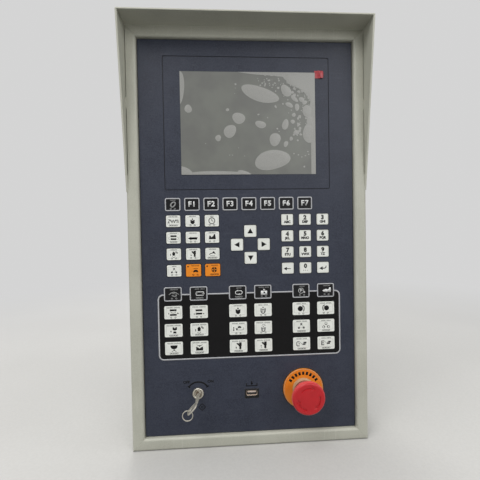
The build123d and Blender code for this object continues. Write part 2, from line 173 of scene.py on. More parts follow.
# Colours are screen values; the sizes of the shade, the grain, the rubbed lines and the bumps are in mm
keyTop = {"broadSize": 12, "grainShare": 0.35, "roughness": (0.34, 0.46), "bumpDepth": 0.03}
darkInk = {
    "broadSize": 4, "grainSize": 0.3, "grainShare": 0.3, "roughness": (0.45, 0.6),
    "bumpSize": 0.3, "bump": 0.1, "bumpDepth": 0.01,
}
lightInk = {**darkInk, "broadSize": 6, "roughness": (0.42, 0.55)}
looks = {
    "housingPaint": {
        "colour": (177, 177, 164), "shade": (168, 168, 155), "grain": (190, 190, 178),
        "broadSize": 45, "grainSize": 0.9, "grainShare": 0.5, "roughness": (0.4, 0.58), "bumpSize": 1.4,
        "bump": 0.65, "bumpDepth": 0.14, "rub": (197, 197, 186), "rubSize": 9, "rubStretch": (0.25, 0.25, 5),
        "rubShare": 0.35,
    },
    "membrane": {
        "colour": (41, 46, 60), "shade": (33, 38, 52), "grain": (57, 61, 74),
        "broadSize": 22, "grainSize": 1.1, "grainShare": 0.75, "roughness": (0.4, 0.54), "bump": 0.3,
        "bumpDepth": 0.05, "specular": 0.35, "rub": (84, 86, 94), "rubSize": 6, "rubStretch": (3, 1, 0.4),
        "rubShare": 0.15,
    },
    "darkField": {
        "colour": (12, 12, 13), "shade": (8, 8, 9), "grain": (21, 20, 21),
        "broadSize": 25, "grainSize": 0.9, "grainShare": 0.6, "roughness": (0.36, 0.48), "bumpDepth": 0.03,
        "specular": 0.17,
    },
    "whiteKey": {
        **keyTop, "colour": (232, 234, 228), "shade": (225, 227, 220), "grain": (214, 216, 208),
        "rub": (184, 186, 178), "rubSize": 5, "rubStretch": (1, 1, 0.3), "rubShare": 0.3,
    },
    "orangeKey": {**keyTop, "colour": (232, 136, 16), "shade": (225, 127, 12), "grain": (236, 148, 36)},
    "darkKey": {
        **keyTop, "colour": (14, 14, 16), "shade": (10, 10, 12), "grain": (24, 24, 27),
        "grainSize": 0.6, "grainShare": 0.5, "roughness": (0.32, 0.45), "specular": 0.25,
    },
    "darkPrint": {**darkInk, "colour": (14, 14, 15), "shade": (20, 20, 21), "grain": (30, 30, 30), "specular": 0.15},
    "greyPrint": {**darkInk, "colour": (76, 77, 77), "shade": (68, 69, 69), "grain": (92, 93, 92), "specular": 0.35},
    "palePrint": {**darkInk, "colour": (150, 151, 150), "shade": (138, 139, 138), "grain": (164, 165, 163)},
    "lightPrint": {**lightInk, "colour": (176, 177, 180), "shade": (168, 169, 173), "grain": (190, 191, 193)},
    "whitePrint": {**lightInk, "colour": (226, 227, 226), "shade": (216, 217, 216), "grain": (200, 201, 200)},
    "plated": {
        "colour": (214, 209, 198), "shade": (194, 189, 177), "grain": (164, 158, 147),
        "broadSize": 5, "roughness": (0.22, 0.36), "bumpSize": 0.6, "metallic": 0.95,
    },
    "tonguePlastic": {
        "colour": (214, 198, 188), "shade": (202, 184, 172), "grain": (222, 208, 200),
        "broadSize": 3, "grainSize": 0.4, "roughness": (0.4, 0.52), "bumpSize": 0.4, "bumpDepth": 0.01,
    },
    "coreMetal": {
        "colour": (146, 130, 114), "shade": (120, 104, 90), "grain": (96, 84, 74),
        "broadSize": 3, "grainSize": 0.4, "grainShare": 0.5, "roughness": (0.34, 0.5), "bumpSize": 0.4,
        "metallic": 0.4,
    },
    "keyMetal": {
        "colour": (204, 200, 188), "shade": (182, 178, 167), "grain": (154, 150, 140),
        "broadSize": 4, "grainSize": 0.4, "grainShare": 0.5, "roughness": (0.34, 0.5), "bumpSize": 0.35,
        "bump": 0.35, "bumpDepth": 0.03, "metallic": 0.55, "stretch": (1, 4, 1),
    },
    "aluminium": {
        "colour": (186, 187, 188), "shade": (168, 169, 171), "grain": (150, 151, 153),
        "broadSize": 25, "grainShare": 0.5, "roughness": (0.35, 0.5), "bumpSize": 0.4, "bump": 0.3,
        "metallic": 1.0, "stretch": (12, 1, 1),
    },
    "zinc": {
        "colour": (176, 178, 176), "shade": (150, 152, 150), "grain": (196, 197, 193),
        "broadSize": 14, "grainSize": 2.5, "grainShare": 0.6, "roughness": (0.34, 0.52), "bumpSize": 2.0,
        "bumpDepth": 0.03, "metallic": 1.0,
    },
    "blackPlastic": {
        "colour": (24, 24, 25), "shade": (30, 30, 31), "grain": (38, 38, 38),
        "broadSize": 8, "grainSize": 0.4, "bumpSize": 0.4, "bump": 0.3,
    },
    "yellowPlastic": {
        "colour": (222, 128, 24), "shade": (212, 118, 18), "grain": (228, 142, 44),
        "broadSize": 10, "roughness": (0.34, 0.48), "rub": (190, 120, 60), "rubSize": 7,
        "rubStretch": (2, 1, 0.4), "rubShare": 0.25,
    },
    "creamPlastic": {"colour": (184, 156, 122), "shade": (170, 142, 108), "grain": (194, 168, 136)},
    "redPlastic": {
        "colour": (184, 26, 34), "shade": (174, 22, 30), "grain": (192, 36, 43),
        "broadSize": 9, "grainSize": 0.35, "roughness": (0.34, 0.46), "bumpSize": 0.4, "bump": 0.3,
        "specular": 0.35, "coat": 0.16, "coatRoughness": 0.3, "sheen": 0.3, "sheenRoughness": 0.25,
        # painted highlight: the rim's outer rounding and the cone behind it turn a lighter pink that stands in for
        # light from above
        "paintedRimHighlight": (224, 84, 82), "fadeSpan": (-164.4, -162.9),
    },
    "redTab": {
        "colour": (168, 40, 50), "shade": (136, 28, 38), "grain": (190, 74, 82),
        "broadSize": 3.5, "grainSize": 0.9, "grainShare": 0.5, "roughness": (0.28, 0.42), "bumpSize": 0.8,
        "bump": 0.3, "bumpDepth": 0.05,
    },
    "portMetal": {
        "colour": (226, 207, 190), "shade": (208, 186, 166), "grain": (184, 160, 140),
        "broadSize": 3, "grainSize": 0.3, "roughness": (0.3, 0.44), "bumpSize": 0.4, "bumpDepth": 0.01,
        "metallic": 0.35,
    },
    "contactMetal": {
        "colour": (222, 178, 92), "shade": (206, 160, 74), "grain": (184, 138, 60),
        "broadSize": 2, "grainSize": 0.2, "roughness": (0.2, 0.34), "bumpSize": 0.2, "bump": 0.1,
        "bumpDepth": 0.01, "metallic": 1.0,
    },
    "displayGlass": {
        "colour": (62, 66, 62), "shade": (58, 62, 59), "grain": (68, 71, 68),
        "broadSize": 60, "grainShare": 0.3, "roughness": (0.08, 0.14), "bump": 0.02, "bumpDepth": 0.01,
        "coat": 0.5, "coatRoughness": 0.05,
    },
}
finishes = {name: makeFinish(name, look) for name, look in looks.items()}
print("finishes made:", len(finishes))


# Meshes

slotOf = {part["node"]: part["material_slot"] for part in frame["record"]["subparts"]}


def extent(nodeName):
    # The lowest and the highest corner of a CAD node, in mm
    return [np.array(corner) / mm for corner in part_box(nodeName)]


def fromFront(nodeName):
    # Middle and size of a CAD node as seen from the front, x and z in mm
    low, high = extent(nodeName)
    return ((low + high) / 2)[[0, 2]], (high - low)[[0, 2]]


def inScene(name, data):
    # A new object in the scene
    thing = bpy.data.objects.new(name, data)
    bpy.context.scene.collection.objects.link(thing)
    return thing


def paint(mesh, finish, sharp):
    # The mesh's one finish, shaded smooth up to an angle in degrees
    mesh.materials.clear()
    mesh.materials.append(finishes[finish])
    mesh.shade_smooth()
    mesh.set_sharp_from_angle(angle=np.radians(sharp))


def thicken(piece, name, thickness):
    # A sheet's thickness in mm, behind the side that shows
    sheet = piece.modifiers.new(name, "SOLIDIFY")
    sheet.thickness = thickness * mm
    sheet.offset = -1


def cornersOf(mesh):
    points = np.empty(len(mesh.vertices) * 3)
    mesh.vertices.foreach_get("co", points)
    return points.reshape(-1, 3)


def gridPoints(x, y, z):
    # Points in metres, one row after the other, from coordinates in mm that spread over the same grid
    return np.stack(np.broadcast_arrays(x, y, z), -1).reshape(-1, 3) * mm


def addPiece(name, points, faces, finish, body, slot, sharp=35, cleaned=True):
    # A mesh piece in place; doubles are merged and its faces turned outwards before it is shaded
    mesh = bpy.data.meshes.new(name)
    mesh.from_pydata(np.asarray(points, float).tolist(), [], [list(face) for face in faces])
    if cleaned:
        shell = bmesh.new()
        shell.from_mesh(mesh)
        bmesh.ops.remove_doubles(shell, verts=shell.verts, dist=1e-6)
        bmesh.ops.recalc_face_normals(shell, faces=shell.faces)
        shell.to_mesh(mesh)
        shell.free()
    piece = inScene(name, mesh)
    paint(mesh, finish, sharp)
    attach(piece, body)
    return piece


def gridFaces(rows, columns, closed=False):
    # Four-cornered faces between neighbours of a grid whose rows lie one after the other
    row, column = np.meshgrid(np.arange(rows - 1), np.arange(columns if closed else columns - 1), indexing="ij")
    right = (column + 1) % columns
    corners = np.stack([row * columns + column, row * columns + right,
                        (row + 1) * columns + right, (row + 1) * columns + column], -1)
    return corners.reshape(-1, 4)


def ringFaces(steps, sides):
    # The same for a section of so many sides that is carried round a closed path
    step, side = np.meshgrid(np.arange(steps), np.arange(sides), indexing="ij")
    nextStep, nextSide = (step + 1) % steps, (side + 1) % sides
    corners = np.stack([step * sides + side, nextStep * sides + side,
                        nextStep * sides + nextSide, step * sides + nextSide], -1)
    return corners.reshape(-1, 4).tolist()


def barFaces(rows, columns):
    # The faces of a bar: its sides between closed cross-sections that lie one after the other, and its two ends
    ends = [list(range(columns))[::-1], list(range((rows - 1) * columns, rows * columns))]
    return gridFaces(rows, columns, closed=True).tolist() + ends


def loopNormals(loop):
    # Unit normals of a closed loop that turns left, each from the two neighbours of its point
    along = np.roll(loop, -1, 0) - np.roll(loop, 1, 0)
    along /= np.linalg.norm(along, axis=1, keepdims=True)
    return np.stack([along[:, 1], -along[:, 0]], 1)


def turned(profile, place, level, steps=64):
    # A profile of radius and height, carried round the axis that runs out of the panel at a place: x and z go
    # round on the circle of that radius, y goes out from the level by the height
    radius, height = np.array(profile, float).T
    angle = np.arange(steps) / steps * fullTurn
    points = gridPoints(place[0] + radius[:, None] * np.cos(angle), level - height[:, None],
                        place[1] + radius[:, None] * np.sin(angle))
    return points, gridFaces(len(radius), steps, closed=True)


def softened(nodeName, finish, width, segments=2, sharp=30):
    # Stands in for a CAD node: the same shape with merged faces and slightly rounded edges
    node = frame["nodes"][nodeName]
    mesh = node.data.copy()
    shell = bmesh.new()
    shell.from_mesh(mesh)
    bmesh.ops.remove_doubles(shell, verts=shell.verts, dist=2e-6)
    bmesh.ops.dissolve_limit(shell, angle_limit=np.radians(0.8), verts=shell.verts, edges=shell.edges)
    shell.to_mesh(mesh)
    shell.free()
    piece = inScene(nodeName + ".soft", mesh)
    paint(mesh, finish, sharp)
    rounding = piece.modifiers.new("rounding", "BEVEL")
    rounding.width = width * mm
    rounding.segments = segments
    rounding.limit_method = "ANGLE"
    rounding.angle_limit = np.radians(sharp)
    rounding.harden_normals = True
    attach(piece, node["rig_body"])
    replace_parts(piece, nodeName)
    return piece


# Flat signs, in millimetres, x right and y up, with faces that turn left

def rotated(points, angle):
    cosine, sine = np.cos(np.radians(angle)), np.sin(np.radians(angle))
    return np.array(points, float) @ np.array([(cosine, sine), (-sine, cosine)])


def patch(points):
    return np.array(points, float), [list(range(len(points)))]


def band(points, width, closed=False, mitre=0.4):
    # A stroke of even width: at each point the sides lie half the width away along the mean normal, and further
    # at a bend, where the cosine of half its angle counts for no less than mitre
    line = np.array(points, float)
    ahead = np.roll(line, -1, 0) - line
    behind = line - np.roll(line, 1, 0)
    if not closed:
        ahead[-1], behind[0] = behind[-1], ahead[0]
    ahead /= np.linalg.norm(ahead, axis=1, keepdims=True)
    behind /= np.linalg.norm(behind, axis=1, keepdims=True)
    along = ahead + behind
    along /= np.linalg.norm(along, axis=1, keepdims=True)
    reach = width / 2 / np.maximum((along * ahead).sum(1, keepdims=True), mitre)
    aside = np.stack([-along[:, 1], along[:, 0]], 1) * reach
    count = len(line)
    start = np.arange(count if closed else count - 1)
    after = (start + 1) % count
    faces = np.stack([start, after, after + count, start + count], 1)
    return np.concatenate([line - aside, line + aside]), faces.tolist()


def around(radius, start, stop, steps=16, middle=(0, 0)):
    # Points on a circle from one angle to another, in degrees
    angle = np.radians(np.linspace(start, stop, steps))
    return np.stack([middle[0] + radius * np.cos(angle), middle[1] + radius * np.sin(angle)], 1)


def box(x, y, width, height, angle=0):
    corners = np.array([(-1, -1), (1, -1), (1, 1), (-1, 1)]) * (width / 2, height / 2)
    return patch(rotated(corners, angle) + (x, y))


def tip(x, y, size, angle):
    # An arrow head whose point looks along the angle
    return patch(rotated([(-0.5, 0.6), (-0.5, -0.6), (0.6, 0)], angle) * size + (x, y))


def dot(x, y, radius):
    return patch(around(radius, 0, 345, 24, (x, y)))


def hoop(x, y, radius, width, steps=24):
    return band(around(radius, 0, 360 - 360 / steps, steps, (x, y)), width, closed=True)


def bow(x, y, radius, start, stop, width):
    return band(around(radius, start, stop, 14, (x, y)), width)


def roundedLoop(width, height, radius, steps=5):
    # The corner points of a rounded rectangle round the middle, corner after corner
    angle = np.radians(np.linspace(0, 90, steps))
    quarter = np.stack([np.cos(angle), np.sin(angle)], 1) * radius
    corners = [rotated(quarter, turn) + np.array(side) * (width / 2 - radius, height / 2 - radius)
               for turn, side in ((0, (1, 1)), (90, (-1, 1)), (180, (-1, -1)), (270, (1, -1)))]
    return np.concatenate(corners)


def outline(width, height, radius, line):
    return band(roundedLoop(width - line, height - line, radius - line / 2), line, closed=True)


def moved(sign, x, y, size=1.0):
    return [(corners * size + (x, y), faces) for corners, faces in sign]


def swung(sign, angle):
    return [(rotated(corners, angle), faces) for corners, faces in sign]


def lettering(text, size, x=0.0, y=0.0, weight=0.0, gap=1.0):
    # Words in the built-in typeface, made a flat mesh; weight makes the strokes bolder, gap sets them wider apart
    curve = bpy.data.curves.new("lettering", "FONT")
    curve.body = text
    curve.size = size
    curve.offset = weight
    curve.space_character = gap
    curve.resolution_u = 3
    curve.align_x = curve.align_y = "CENTER"
    holder = inScene("lettering", curve)
    mesh = bpy.data.meshes.new_from_object(holder)
    corners = cornersOf(mesh)[:, :2] + (x, y)
    faces = [list(polygon.vertices) for polygon in mesh.polygons]
    bpy.data.objects.remove(holder)
    bpy.data.curves.remove(curve)
    bpy.data.meshes.remove(mesh)
    return corners, faces


def printed(name, signs, level, finish, slot, body="housing", ink=0.05, outside=0.6):
    # Ink on a face that lies at y = level, in mm: the flat signs side by side as one thin layer, of whose
    # thickness a share stands out of the face
    shift, points, faces = 0, [], []
    for corners, sides in signs:
        points.append(corners)
        faces += [[index + shift for index in side] for side in sides]
        shift += len(corners)
    flat = np.concatenate(points)
    placed = gridPoints(flat[:, 0], level - outside * ink, flat[:, 1])
    piece = addPiece(name, placed, faces, finish, body, slot, cleaned=False)
    shell = bmesh.new()
    shell.from_mesh(piece.data)
    shell.normal_update()
    bmesh.ops.reverse_faces(shell, faces=[face for face in shell.faces if face.normal.y > 0])
    shell.to_mesh(piece.data)
    shell.free()
    thicken(piece, "layer", ink)
    return piece


def padSpans(nodeName, gap=0.5):
    # Middle, width and height in mm of a node's separate pads, row by row: the spans of its triangles join to
    # columns and rows where no gap lies between them
    mesh = frame["nodes"][nodeName].data
    corner = np.empty(len(mesh.loops), np.int32)
    mesh.loops.foreach_get("vertex_index", corner)
    triangles = cornersOf(mesh)[corner].reshape(-1, 3, 3) / mm
    middle = triangles.mean(1)

    def joined(axis):
        low, high = triangles[..., axis].min(1), triangles[..., axis].max(1)
        order = np.argsort(low)
        low, high = low[order], np.maximum.accumulate(high[order])
        first = np.flatnonzero(np.append(True, low[1:] > high[:-1] + gap))
        return np.stack([low[first], high[np.append(first[1:] - 1, len(low) - 1)]], 1)

    spans = []
    for bottom, top in joined(2)[::-1]:
        for left, right in joined(0):
            inside = (middle[:, 0] > left) & (middle[:, 0] < right) & (middle[:, 2] > bottom) & (middle[:, 2] < top)
            if inside.any():
                spans.append(((left + right) / 2, (bottom + top) / 2, right - left, top - bottom))
    return spans


def padPlaces(nodeName):
    return [(x, y) for x, y, width, height in padSpans(nodeName)]


def outlines(places, size, corner, line):
    # The same outline round each place
    return [shape for place in places for shape in moved([outline(*size, corner, line)], *place)]


# Sheet metal, plates and other pieces whose CAD shape is right: softened edges and their finish
roundings = {
    "left_wall": ("housingPaint", 0.7), "right_wall": ("housingPaint", 0.7),
    "top_wall": ("housingPaint", 0.7), "bottom_wall": ("housingPaint", 0.7),
    "rear_cover": ("housingPaint", 0.5), "mount_neck": ("housingPaint", 0.6), "mounting_plate": ("housingPaint", 0.8),
    "panel_overlay": ("membrane", 0.12), "display_frame": ("membrane", 0.12),
    "display_glass": ("displayGlass", 0.2), "panel_plate": ("aluminium", 0.3), "panel_carrier": ("zinc", 0.4),
    "display_module": ("zinc", 0.5),
    "function_keys": ("darkKey", 0.2), "menu_keys": ("whiteKey", 0.2), "heater_keys": ("orangeKey", 0.2),
    "arrow_keys": ("whiteKey", 0.2), "number_keys": ("whiteKey", 0.2), "mode_keys": ("darkKey", 0.2),
    "operation_keys": ("whiteKey", 0.2), "operation_field": ("darkField", 0.08),
    "lock_core": ("coreMetal", 0.12), "lock_nut": ("zinc", 0.3),
    "port_insert": ("blackPlastic", 0.15), "port_tongue": ("blackPlastic", 0.15),
    "stop_disc": ("yellowPlastic", 0.15), "stop_collar": ("creamPlastic", 0.2), "stop_nut": ("zinc", 0.3),
    "stop_plunger": ("blackPlastic", 0.2),
}
for nodeName, (finish, width) in roundings.items():
    softened(nodeName, finish, width)
print("CAD nodes softened:", len(roundings))

face = extent("panel_overlay")[0][1]          # y of the membrane's front
keyFace = extent("menu_keys")[0][1]           # y of the pads' tops
fieldFace = extent("operation_field")[0][1]   # y of the dark field's top


# Printed signs of the membrane: generic pictures of the same size and weight as the real ones
def caption(y, count, pitch=1.15, tall=1.3):
    # A row of short upright marks in place of a line of small words, with a gap in a long line
    start = -(count - 1) * pitch / 2
    shown = [index for index in range(count) if count < 11 or index != count // 2]
    return [box(start + index * pitch, y, 0.62, tall if index % 3 else 0.75 * tall) for index in shown]


def feet(y, count, pitch):
    # Small open squares at the foot of a key
    loop = roundedLoop(1.7, 1.5, 0.3, 2)
    start = -(count - 1) * pitch / 2
    return [band(loop + (start + index * pitch, y), 0.45, closed=True) for index in range(count)]


def eyelid(x, y, radius, start, stop):
    # A circle whose part between two angles is filled
    return [hoop(x, y, radius, 0.5), patch(around(radius, start, stop, 12, (x, y)))]


wave = np.linspace(0, 1, 22)
clock = [hoop(0, 0, 4.3, 1.05), band([(0, 2.9), (0, 0), (2.2, -0.8)], 0.85)]
trace = [band([(-7.4, 2.3), (-4.8, 2.3), (-7.4, -2.3), (-4.8, -2.3)], 0.9),
         band(np.stack([-4.2 + 8.4 * wave, 1.9 * np.sin(2.5 * fullTurn * wave)], 1), 0.95),
         bow(3.4, -0.4, 2.4, -50, 80, 0.8), bow(4.9, -0.4, 2.6, -50, 80, 0.8)]
pot = [patch([(-3.1, 1.8), (-1.6, 1.3), (0, 0.6), (1.6, 1.3), (3.1, 1.8), (3.0, -2.4), (1.8, -3.9), (0, -4.6),
              (-1.8, -3.9), (-3.0, -2.4)]), tip(0, 2.9, 2.2, 90)]
openPot = [band([(-2.9, 1.8), (-2.7, -2.4), (-1.5, -3.9), (0, -4.7), (1.5, -3.9), (2.7, -2.4), (2.9, 1.8)], 1.1),
           band([(-2.9, 1.6), (0, 0.4), (2.9, 1.6)], 0.8), band([(-1.3, 0.9), (-1.2, -2.9)], 0.9),
           band([(1.3, 0.9), (1.2, -2.9)], 0.9), tip(0, 3.3, 2.0, 90)]
potCurve = moved(openPot[:4], 0, -1.4, 0.84)
potCurve += [bow(0.2, 2.0, 1.9, 15, 190, 0.4), dot(2.1, 2.9, 0.6), tip(0, 1.0, 1.5, 270)]
closingBars = [box(0, 2.4, 8.6, 2.5), box(0, -1.9, 8.2, 2.5),
               bow(-4.2, -0.8, 2.6, 130, 240, 0.4), bow(4.2, -0.8, 2.6, -60, 50, 0.4)]
openBars = [box(0, 3.0, 8.4, 2.3), box(0, -2.9, 8.4, 2.2), bow(0, 3.6, 4.2, 215, 325, 0.5), box(-5.6, -1.2, 1.0, 1.7),
            tip(5.7, -0.9, 1.9, 90)]
shutBars = [box(0, 2.0, 8.4, 2.3), box(0, -2.3, 8.2, 2.3), tip(-5.7, -2.7, 1.6, 0), tip(5.7, -2.5, 1.6, 180)]
screwArrow = [tip(-4.7, -1.3, 4.2, 180), box(1.2, -1.3, 10.0, 2.6)]
screwArrow += [box(-1.9 + 1.9 * index, -1.3, 1.3, 3.7, -14) for index in range(5)]
peaks = [patch([(-5.0, -3.0), (-3.8, 2.7), (-2.2, 1.9), (-1.2, -0.2), (0.4, 1.1), (1.9, 2.0), (2.7, 4.6),
                (4.5, 4.2), (5.4, -3.0)])]
upStroke = [patch([(-0.2, 4.2), (2.0, 1.7), (1.4, -1.9), (-1.8, -1.9), (-2.4, 1.7)]),
            bow(-0.2, -2.3, 2.2, 190, 350, 0.5), band([(2.2, 3.6), (5.2, 1.0)], 0.9),
            band([(2.9, 4.4), (5.9, 1.8)], 0.6), box(-4.7, -0.5, 0.9, 2.8)]
nozzle = [patch([(0.9, 4.6), (4.0, 4.6), (4.0, 0.1), (3.5, -0.3), (3.5, -3.5), (2.8, -4.3), (1.4, -4.3), (0.8, -3.5),
                 (0.8, -0.4), (0.3, 0.4)]), patch([(-2.8, 3.2), (-1.4, 4.1), (-0.2, 3.9), (0.5, 2.6), (0.4, 0.2)]),
          box(-3.0, -2.1, 1.3, 1.6), band([(-3.1, 0.6), (-3.4, -0.8)], 0.3)]
nozzleArrow = nozzle[:2] + [box(-3.2, -0.7, 1.1, 1.3), band([(-2.6, -1.9), (-3.1, -2.9), (-2.3, -3.4)], 0.3)]
lever = [band([(-4.6, -1.6), (-2.4, 0.2), (-0.4, 0.4), (1.6, 2.8)], 1.0),
         patch([(0.2, 0.4), (2.0, 3.9), (4.9, -1.0), (2.0, 0.4)]),
         box(0, -3.2, 6.8, 0.5)]
threeDots = [dot(-0.2, 2.8, 1.35), dot(-3.4, -2.1, 1.35), dot(3.1, -2.0, 1.35), band([(-0.9, 1.7), (-2.8, -1.1)], 0.25),
             band([(0.5, 1.7), (2.5, -1.0)], 0.25), band([(-2.2, -2.1), (1.9, -2.0)], 0.25)]
threeRings = eyelid(0.1, 2.5, 1.6, 200, 340) + eyelid(-3.0, -1.9, 1.6, -30, 100) + eyelid(3.2, -1.8, 1.6, 80, 210)
dome = [patch(np.concatenate([around(3.3, 0, 180, 14, (0.5, -2.4)), [(-0.9, -2.4), (0.5, -1.8), (1.9, -2.4)]])),
        bow(0.5, -3.4, 6.0, 62, 118, 0.6), dot(-4.2, -0.9, 0.4)]
fan = [dot(x, y, 1.2) for x in (-2.0, 1.2) for y in (-1.2, 2.0)]
fan += [hoop(-0.4, 0.4, 3.2, 0.5), hoop(-0.4, 0.4, 0.8, 0.5)]
cornerDot = [dot(-6.9, 5.0, 1.0)]
discRight = [dot(-1.2, 0, 3.4), bow(-1.2, 0, 4.6, -44, 24, 0.5), bow(-1.2, 0, 5.5, -44, 30, 0.6),
             tip(2.2, 3.4, 2.2, 125)]
discLeft = [dot(1.1, 0, 3.3), bow(1.1, 0, 4.5, 156, 224, 0.5), bow(1.1, 0, 5.4, 150, 224, 0.6), tip(-2.2, 3.4, 2.2, 55)]
pieceOver = [patch([(-1.2, 4.3), (0.5, 4.0), (1.5, 2.6), (2.5, 4.0), (4.2, 4.3), (4.2, 1.0), (3.1, 0.3), (-0.1, 0.3),
                    (-1.2, 1.0)]),
             band([(1.5, 0.6), (1.5, -1.2)], 0.5), patch([(-0.7, -3.7), (3.7, -3.7), (3.1, -1.3), (-0.1, -1.3)]),
             box(-3.4, -1.2, 1.4, 1.8)]
domeArrow = [patch(around(2.5, 0, 180, 14, (1.5, 0.4))),
             patch([(-3.5, 0.7), (-2.1, -2.6), (-1.1, -2.6), (-0.3, 0.4), (-1.6, -0.4)]),
             band([(-0.6, -2.2), (5.6, -2.2)], 0.4), bow(5.4, -0.7, 1.5, -80, 60, 0.4), box(-5.9, 0.7, 1.5, 1.8),
             box(-5.9, -2.0, 1.5, 1.8)]
goblet = [patch([(-4.5, 3.9), (-4.3, 1.5), (-2.8, -0.3), (-0.8, -0.9), (0.8, -0.9), (2.8, -0.3), (4.3, 1.5),
                 (4.5, 3.9)]),
          band([(0, -0.6), (0, -2.6)], 1.2), band([(-3.0, -3.9), (0, -2.6), (3.2, -3.9)], 0.6)]
tray = [patch([(-4.5, 1.2), (-4.5, -3.8), (4.3, -3.8), (4.3, 1.2), (2.7, 0.6), (0, -1.2), (-2.9, 0.6)]),
        band([(-3.8, 3.7), (0, 1.6), (3.5, 3.7)], 0.5), patch([(-1.6, 2.8), (0, 0.6), (1.5, 2.8)])]
hatch = [box(4.7, 1.4, 3.2, 1.9), box(3.2, -0.9, 3.6, 1.6), band([(-2.2, 1.9), (1.5, -1.3)], 0.4)]
hatch += [band([(1.2 + 1.1 * index, -1.2), (2.8 + 1.1 * index, 2.3)], 0.6) for index in range(4)]
clampHatch = [band([(-2.8, 2.6), (-5.6, 2.6), (-6.4, 1.7), (-6.4, -1.9), (-5.6, -2.8), (-2.8, -2.8)], 1.1),
              box(-3.3, 0.2, 1.1, 2.1)]
combHatch = [band([(-2.6, 2.5), (-5.9, 2.5), (-5.9, -2.5), (-2.6, -2.5)], 1.2), band([(-5.9, 0), (-3.0, 0)], 1.1)]
clampHatch, combHatch = clampHatch + hatch, combHatch + hatch
palm = [band([(-4.8, -0.6), (-2.4, 1.6), (1.0, 2.6), (3.8, 1.9), (7.6, -0.6)], 1.0),
        band([(-1.4, -1.4), (2.0, -3.0), (4.3, -2.2), (3.8, -0.2)], 1.1), band([(-0.8, 0.7), (2.2, 0.8)], 0.9)]
loop = [band(roundedLoop(9.4, 4.4, 0.9, 3) + (1.6, 0), 0.9, closed=True),
        tip(-3.1, 0.6, 2.4, 90), tip(6.3, -0.6, 2.4, 270)]
loopOpen = [bow(-0.6, 0, 2.3, 90, 270, 0.9), bow(3.6, 0, 2.3, -90, 90, 0.9), band([(-0.6, -2.3), (2.6, -2.3)], 0.9),
            band([(0.4, 2.3), (3.6, 2.3)], 0.9), tip(3.4, -2.3, 2.0, 0), tip(-0.4, 2.3, 2.0, 180)]
block = [box(-0.8, -1.2, 3.4, 5.2), box(4.2, -1.2, 2.8, 5.2), box(1.9, 0.6, 2.2, 1.6), box(1.9, -3.0, 2.2, 1.6),
         tip(1.5, 2.9, 2.3, 90)]
turnSign = [hoop(0.2, 0.1, 3.4, 0.45),
            band([(-0.9, -2.0), (-0.9, 2.0), (1.0, 2.0), (1.6, 1.0), (1.0, 0.1), (-0.7, 0.1)], 0.75),
            tip(4.6, -2.1, 2.2, -60)]
unit = [patch([(-4.0, -0.6), (-2.2, 0.9), (-0.6, 0.8), (0.6, 1.7), (1.9, 0.9), (4.4, 1.2), (4.6, 3.3), (7.0, 3.3),
               (7.0, -2.8), (4.6, -2.8), (3.8, -2.2), (0.6, -2.9), (-1.4, -2.2), (-2.6, -2.4)])]
coil = [band(rotated(around(1.0, 0, 345, 24) * (3.6, 2.3), 48) + (0.3, 0), 1.5, closed=True),
        band([(-3.0, -2.6), (-1.4, -1.0)], 0.7)]

# One sign, the number of its feet and the length of its caption for each pad, in the pads' order
menuSigns = [(trace, 5, 10), (pot, 2, 8), (clock, 2, 4), (closingBars, 4, 8), (screwArrow, 2, 8), (peaks, 2, 8),
             (upStroke, 2, 7), (nozzle, 2, 9), (lever, 6, 8), (threeDots, 2, 5)]
heaterSigns = [(dome, 2, 9), (fan, 5, 8)]
operationSigns = [(openBars, 2, 15), (shutBars, 2, 15), (pot, 2, 10), (openPot, 2, 11), (discRight, 2, 11),
                  (discLeft, 2, 13), (pieceOver, 5, 16), (upStroke, 5, 16), (domeArrow, 2, 14), (potCurve, 2, 16),
                  (threeDots, 5, 12), (threeRings, 5, 11), (goblet, 5, 15), (tray, 5, 16), (nozzle, 5, 15),
                  (nozzleArrow, 5, 15), (clampHatch, 5, 12), (combHatch, 5, 11)]
modeSigns = [(palm, 2, 9), (loop, 4, 11), (loopOpen, 4, 6), (block, 2, 12), (turnSign, 2, 6), (unit, 2, 8)]
paleSigns = (trace, openPot, potCurve, threeDots, threeRings, clampHatch, combHatch, fan, palm)
footPitch = {2: 5.4, 4: 2.3, 5: 2.15, 6: 1.9}


def signedPads(nodeName, signs, top, foot, size=1.0, signShift=0.0, wordShift=0.0):
    # The strong and the pale ink of a field of keys: each key's sign, its caption at the top and its feet
    strong, pale = [], []
    for (x, y), (sign, count, words) in zip(padPlaces(nodeName), signs):
        target = pale if any(sign is other for other in paleSigns) else strong
        target += moved(sign, x + signShift, y, size)
        pale += moved(caption(top, words) + feet(foot, count, footPitch[count]), x + wordShift, y)
    return strong, pale


menuDark, menuPale = signedPads("menu_keys", menuSigns, top=5.7, foot=-5.2, size=0.87)
operationDark, operationPale = signedPads("operation_keys", operationSigns, top=6.4, foot=-6.4)
heaterDark, heaterPale = signedPads("heater_keys", heaterSigns, top=5.9, foot=-5.6, signShift=2.3, wordShift=2.3)
heaterDark += [sign for x, y in padPlaces("heater_keys") for sign in moved(cornerDot, x, y)]
printed("whiteKeySigns", menuDark + operationDark, keyFace, "darkPrint", "dark_print")
printed("whiteKeyPaleSigns", menuPale + operationPale, keyFace, "greyPrint", "dark_print")
printed("heaterKeySigns", heaterDark + heaterPale, keyFace, "darkPrint", "dark_print")

arrows = [tip(x, y, 6.0, angle) for (x, y), angle in zip(padPlaces("arrow_keys"), (90, 180, 0, 270))]
printed("arrowKeySigns", arrows, keyFace, "darkPrint", "dark_print")
